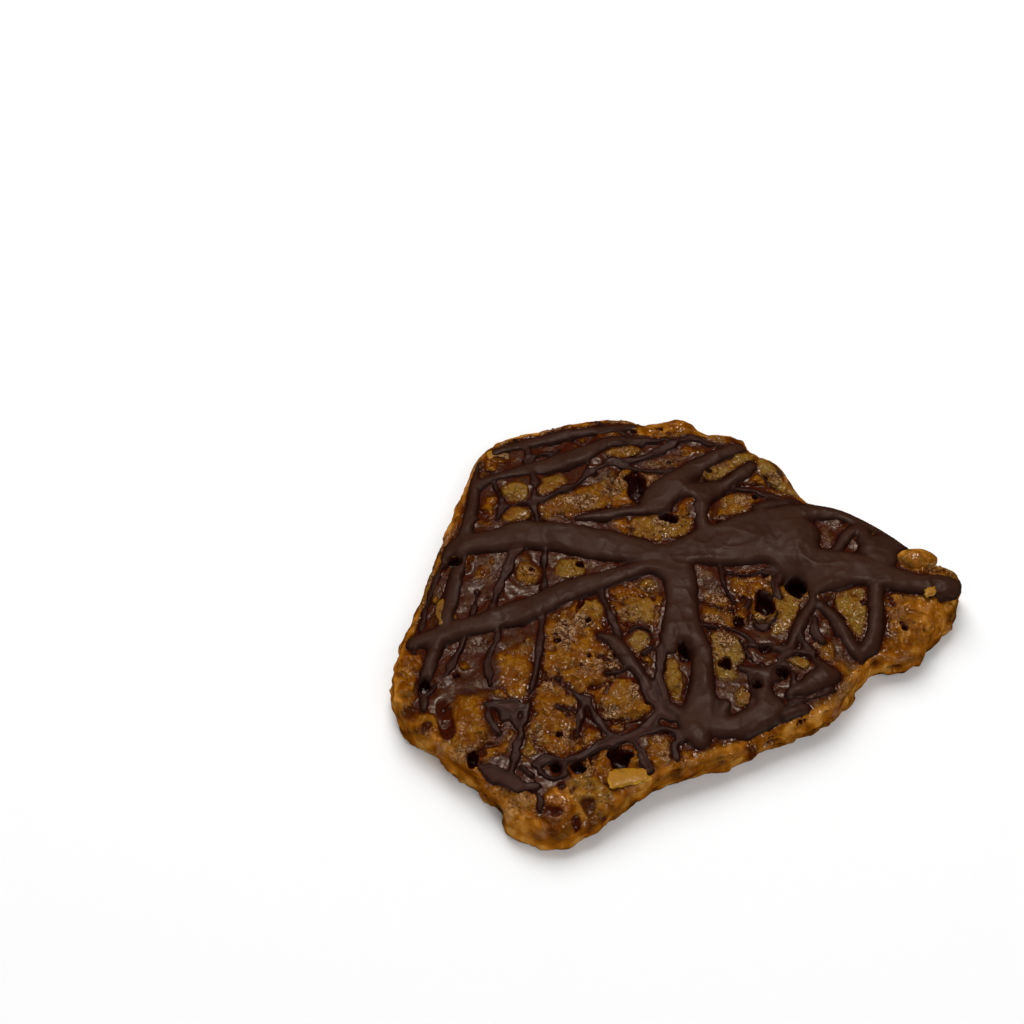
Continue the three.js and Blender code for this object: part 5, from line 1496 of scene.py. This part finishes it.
class FLORENTINE_OT_stage(Operator):
    """Set the paper floor, the lights and the camera"""
    bl_idname = "florentine.stage"
    bl_label = "Stage"

    def execute(self, context):
        """A square floor, the lights of the layout, an even room light, and the camera."""
        s = context.scene.florentine_stage
        corners = [(-1, -1), (1, -1), (1, 1), (-1, 1)]
        mesh = bpy.data.meshes.new("floor")
        mesh.from_pydata([(FLOOR_HALF * x, FLOOR_HALF * y, 0) for x, y in corners],
                         [], [(0, 1, 2, 3)])
        mesh.materials.append(floor_material())
        floor = bpy.data.objects.new("floor", mesh)
        context.scene.collection.objects.link(floor)
        floor.visible_glossy = False

        for name, spec in SOFT_LIGHTS.items():
            area_light(context, name, spec).visible_glossy = False
        for name, spec in GLEAM_LIGHTS.items():
            gleam = area_light(context, name, spec)
            gleam.data.color = s.gleam_colour
            gleam.visible_diffuse = False

        world = bpy.data.worlds.new("room")
        context.scene.world = world
        world.use_nodes = True
        background = world.node_tree.nodes["Background"]
        background.inputs["Color"].default_value = (1.0, 1.0, 1.0, 1.0)
        background.inputs["Strength"].default_value = s.room
        world.cycles_visibility.glossy = False
        context.scene.view_settings.view_transform = "Standard"

        lens = bpy.data.cameras.new("camera")
        lens.lens, lens.sensor_width = s.lens, SENSOR_WIDTH
        lens.clip_start, lens.clip_end = 0.01, 20.0
        camera = bpy.data.objects.new("camera", lens)
        camera.location = CAMERA_PLACE
        camera.rotation_euler = (math.radians(CAMERA_TILT), 0.0, 0.0)
        context.scene.collection.objects.link(camera)
        context.scene.camera = camera
        return {"FINISHED"}


def area_light(context, name, spec):
    """A square light that faces the middle of the cookie, made as the layout says."""
    place, setting, share, size = spec
    data = bpy.data.lights.new(name, "AREA")
    data.energy = share * getattr(context.scene.florentine_stage, setting)
    data.size, data.shape = size, "SQUARE"
    light = bpy.data.objects.new(name, data)
    light.location = place
    light.rotation_euler = (Vector(LIGHT_AIM) - Vector(place)).to_track_quat("-Z", "Y").to_euler()
    context.scene.collection.objects.link(light)
    return light


class FLORENTINE_PT_panel(Panel):
    """The cookie's pieces and their settings"""
    bl_label = "Florentine"
    bl_space_type = "VIEW_3D"
    bl_region_type = "UI"
    bl_category = "Florentine"

    def draw(self, context):
        """A button for each operator, and a box with each group of settings."""
        for kind in STEPS:
            self.layout.operator(kind.bl_idname)
        for key, kind in SETTINGS.items():
            box = self.layout.box()
            for name in kind.__annotations__:
                box.prop(getattr(context.scene, key), name)


STEPS = (FLORENTINE_OT_slab, FLORENTINE_OT_drizzle, FLORENTINE_OT_flakes, FLORENTINE_OT_crumbs,
         FLORENTINE_OT_stage)
SETTINGS = {"florentine_caramel": FlorentineCaramel, "florentine_chocolate": FlorentineChocolate,
            "florentine_flakes": FlorentineFlakes, "florentine_stage": FlorentineStage}
CLASSES = (*SETTINGS.values(), *STEPS, FLORENTINE_PT_panel)


def register():
    """Register the classes, and hang the settings on the scene."""
    for kind in CLASSES:
        bpy.utils.register_class(kind)
    for key, kind in SETTINGS.items():
        setattr(bpy.types.Scene, key, PointerProperty(type=kind))


def unregister():
    """Take the settings off the scene, and unregister the classes in the opposite order."""
    for key in SETTINGS:
        delattr(bpy.types.Scene, key)
    for kind in reversed(CLASSES):
        bpy.utils.unregister_class(kind)


def main():
    """Register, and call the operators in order."""
    register()
    for kind in STEPS:
        group, name = kind.bl_idname.split(".")
        getattr(getattr(bpy.ops, group), name)()
    bpy.context.view_layer.update()


if __name__ == "__main__":
    main()
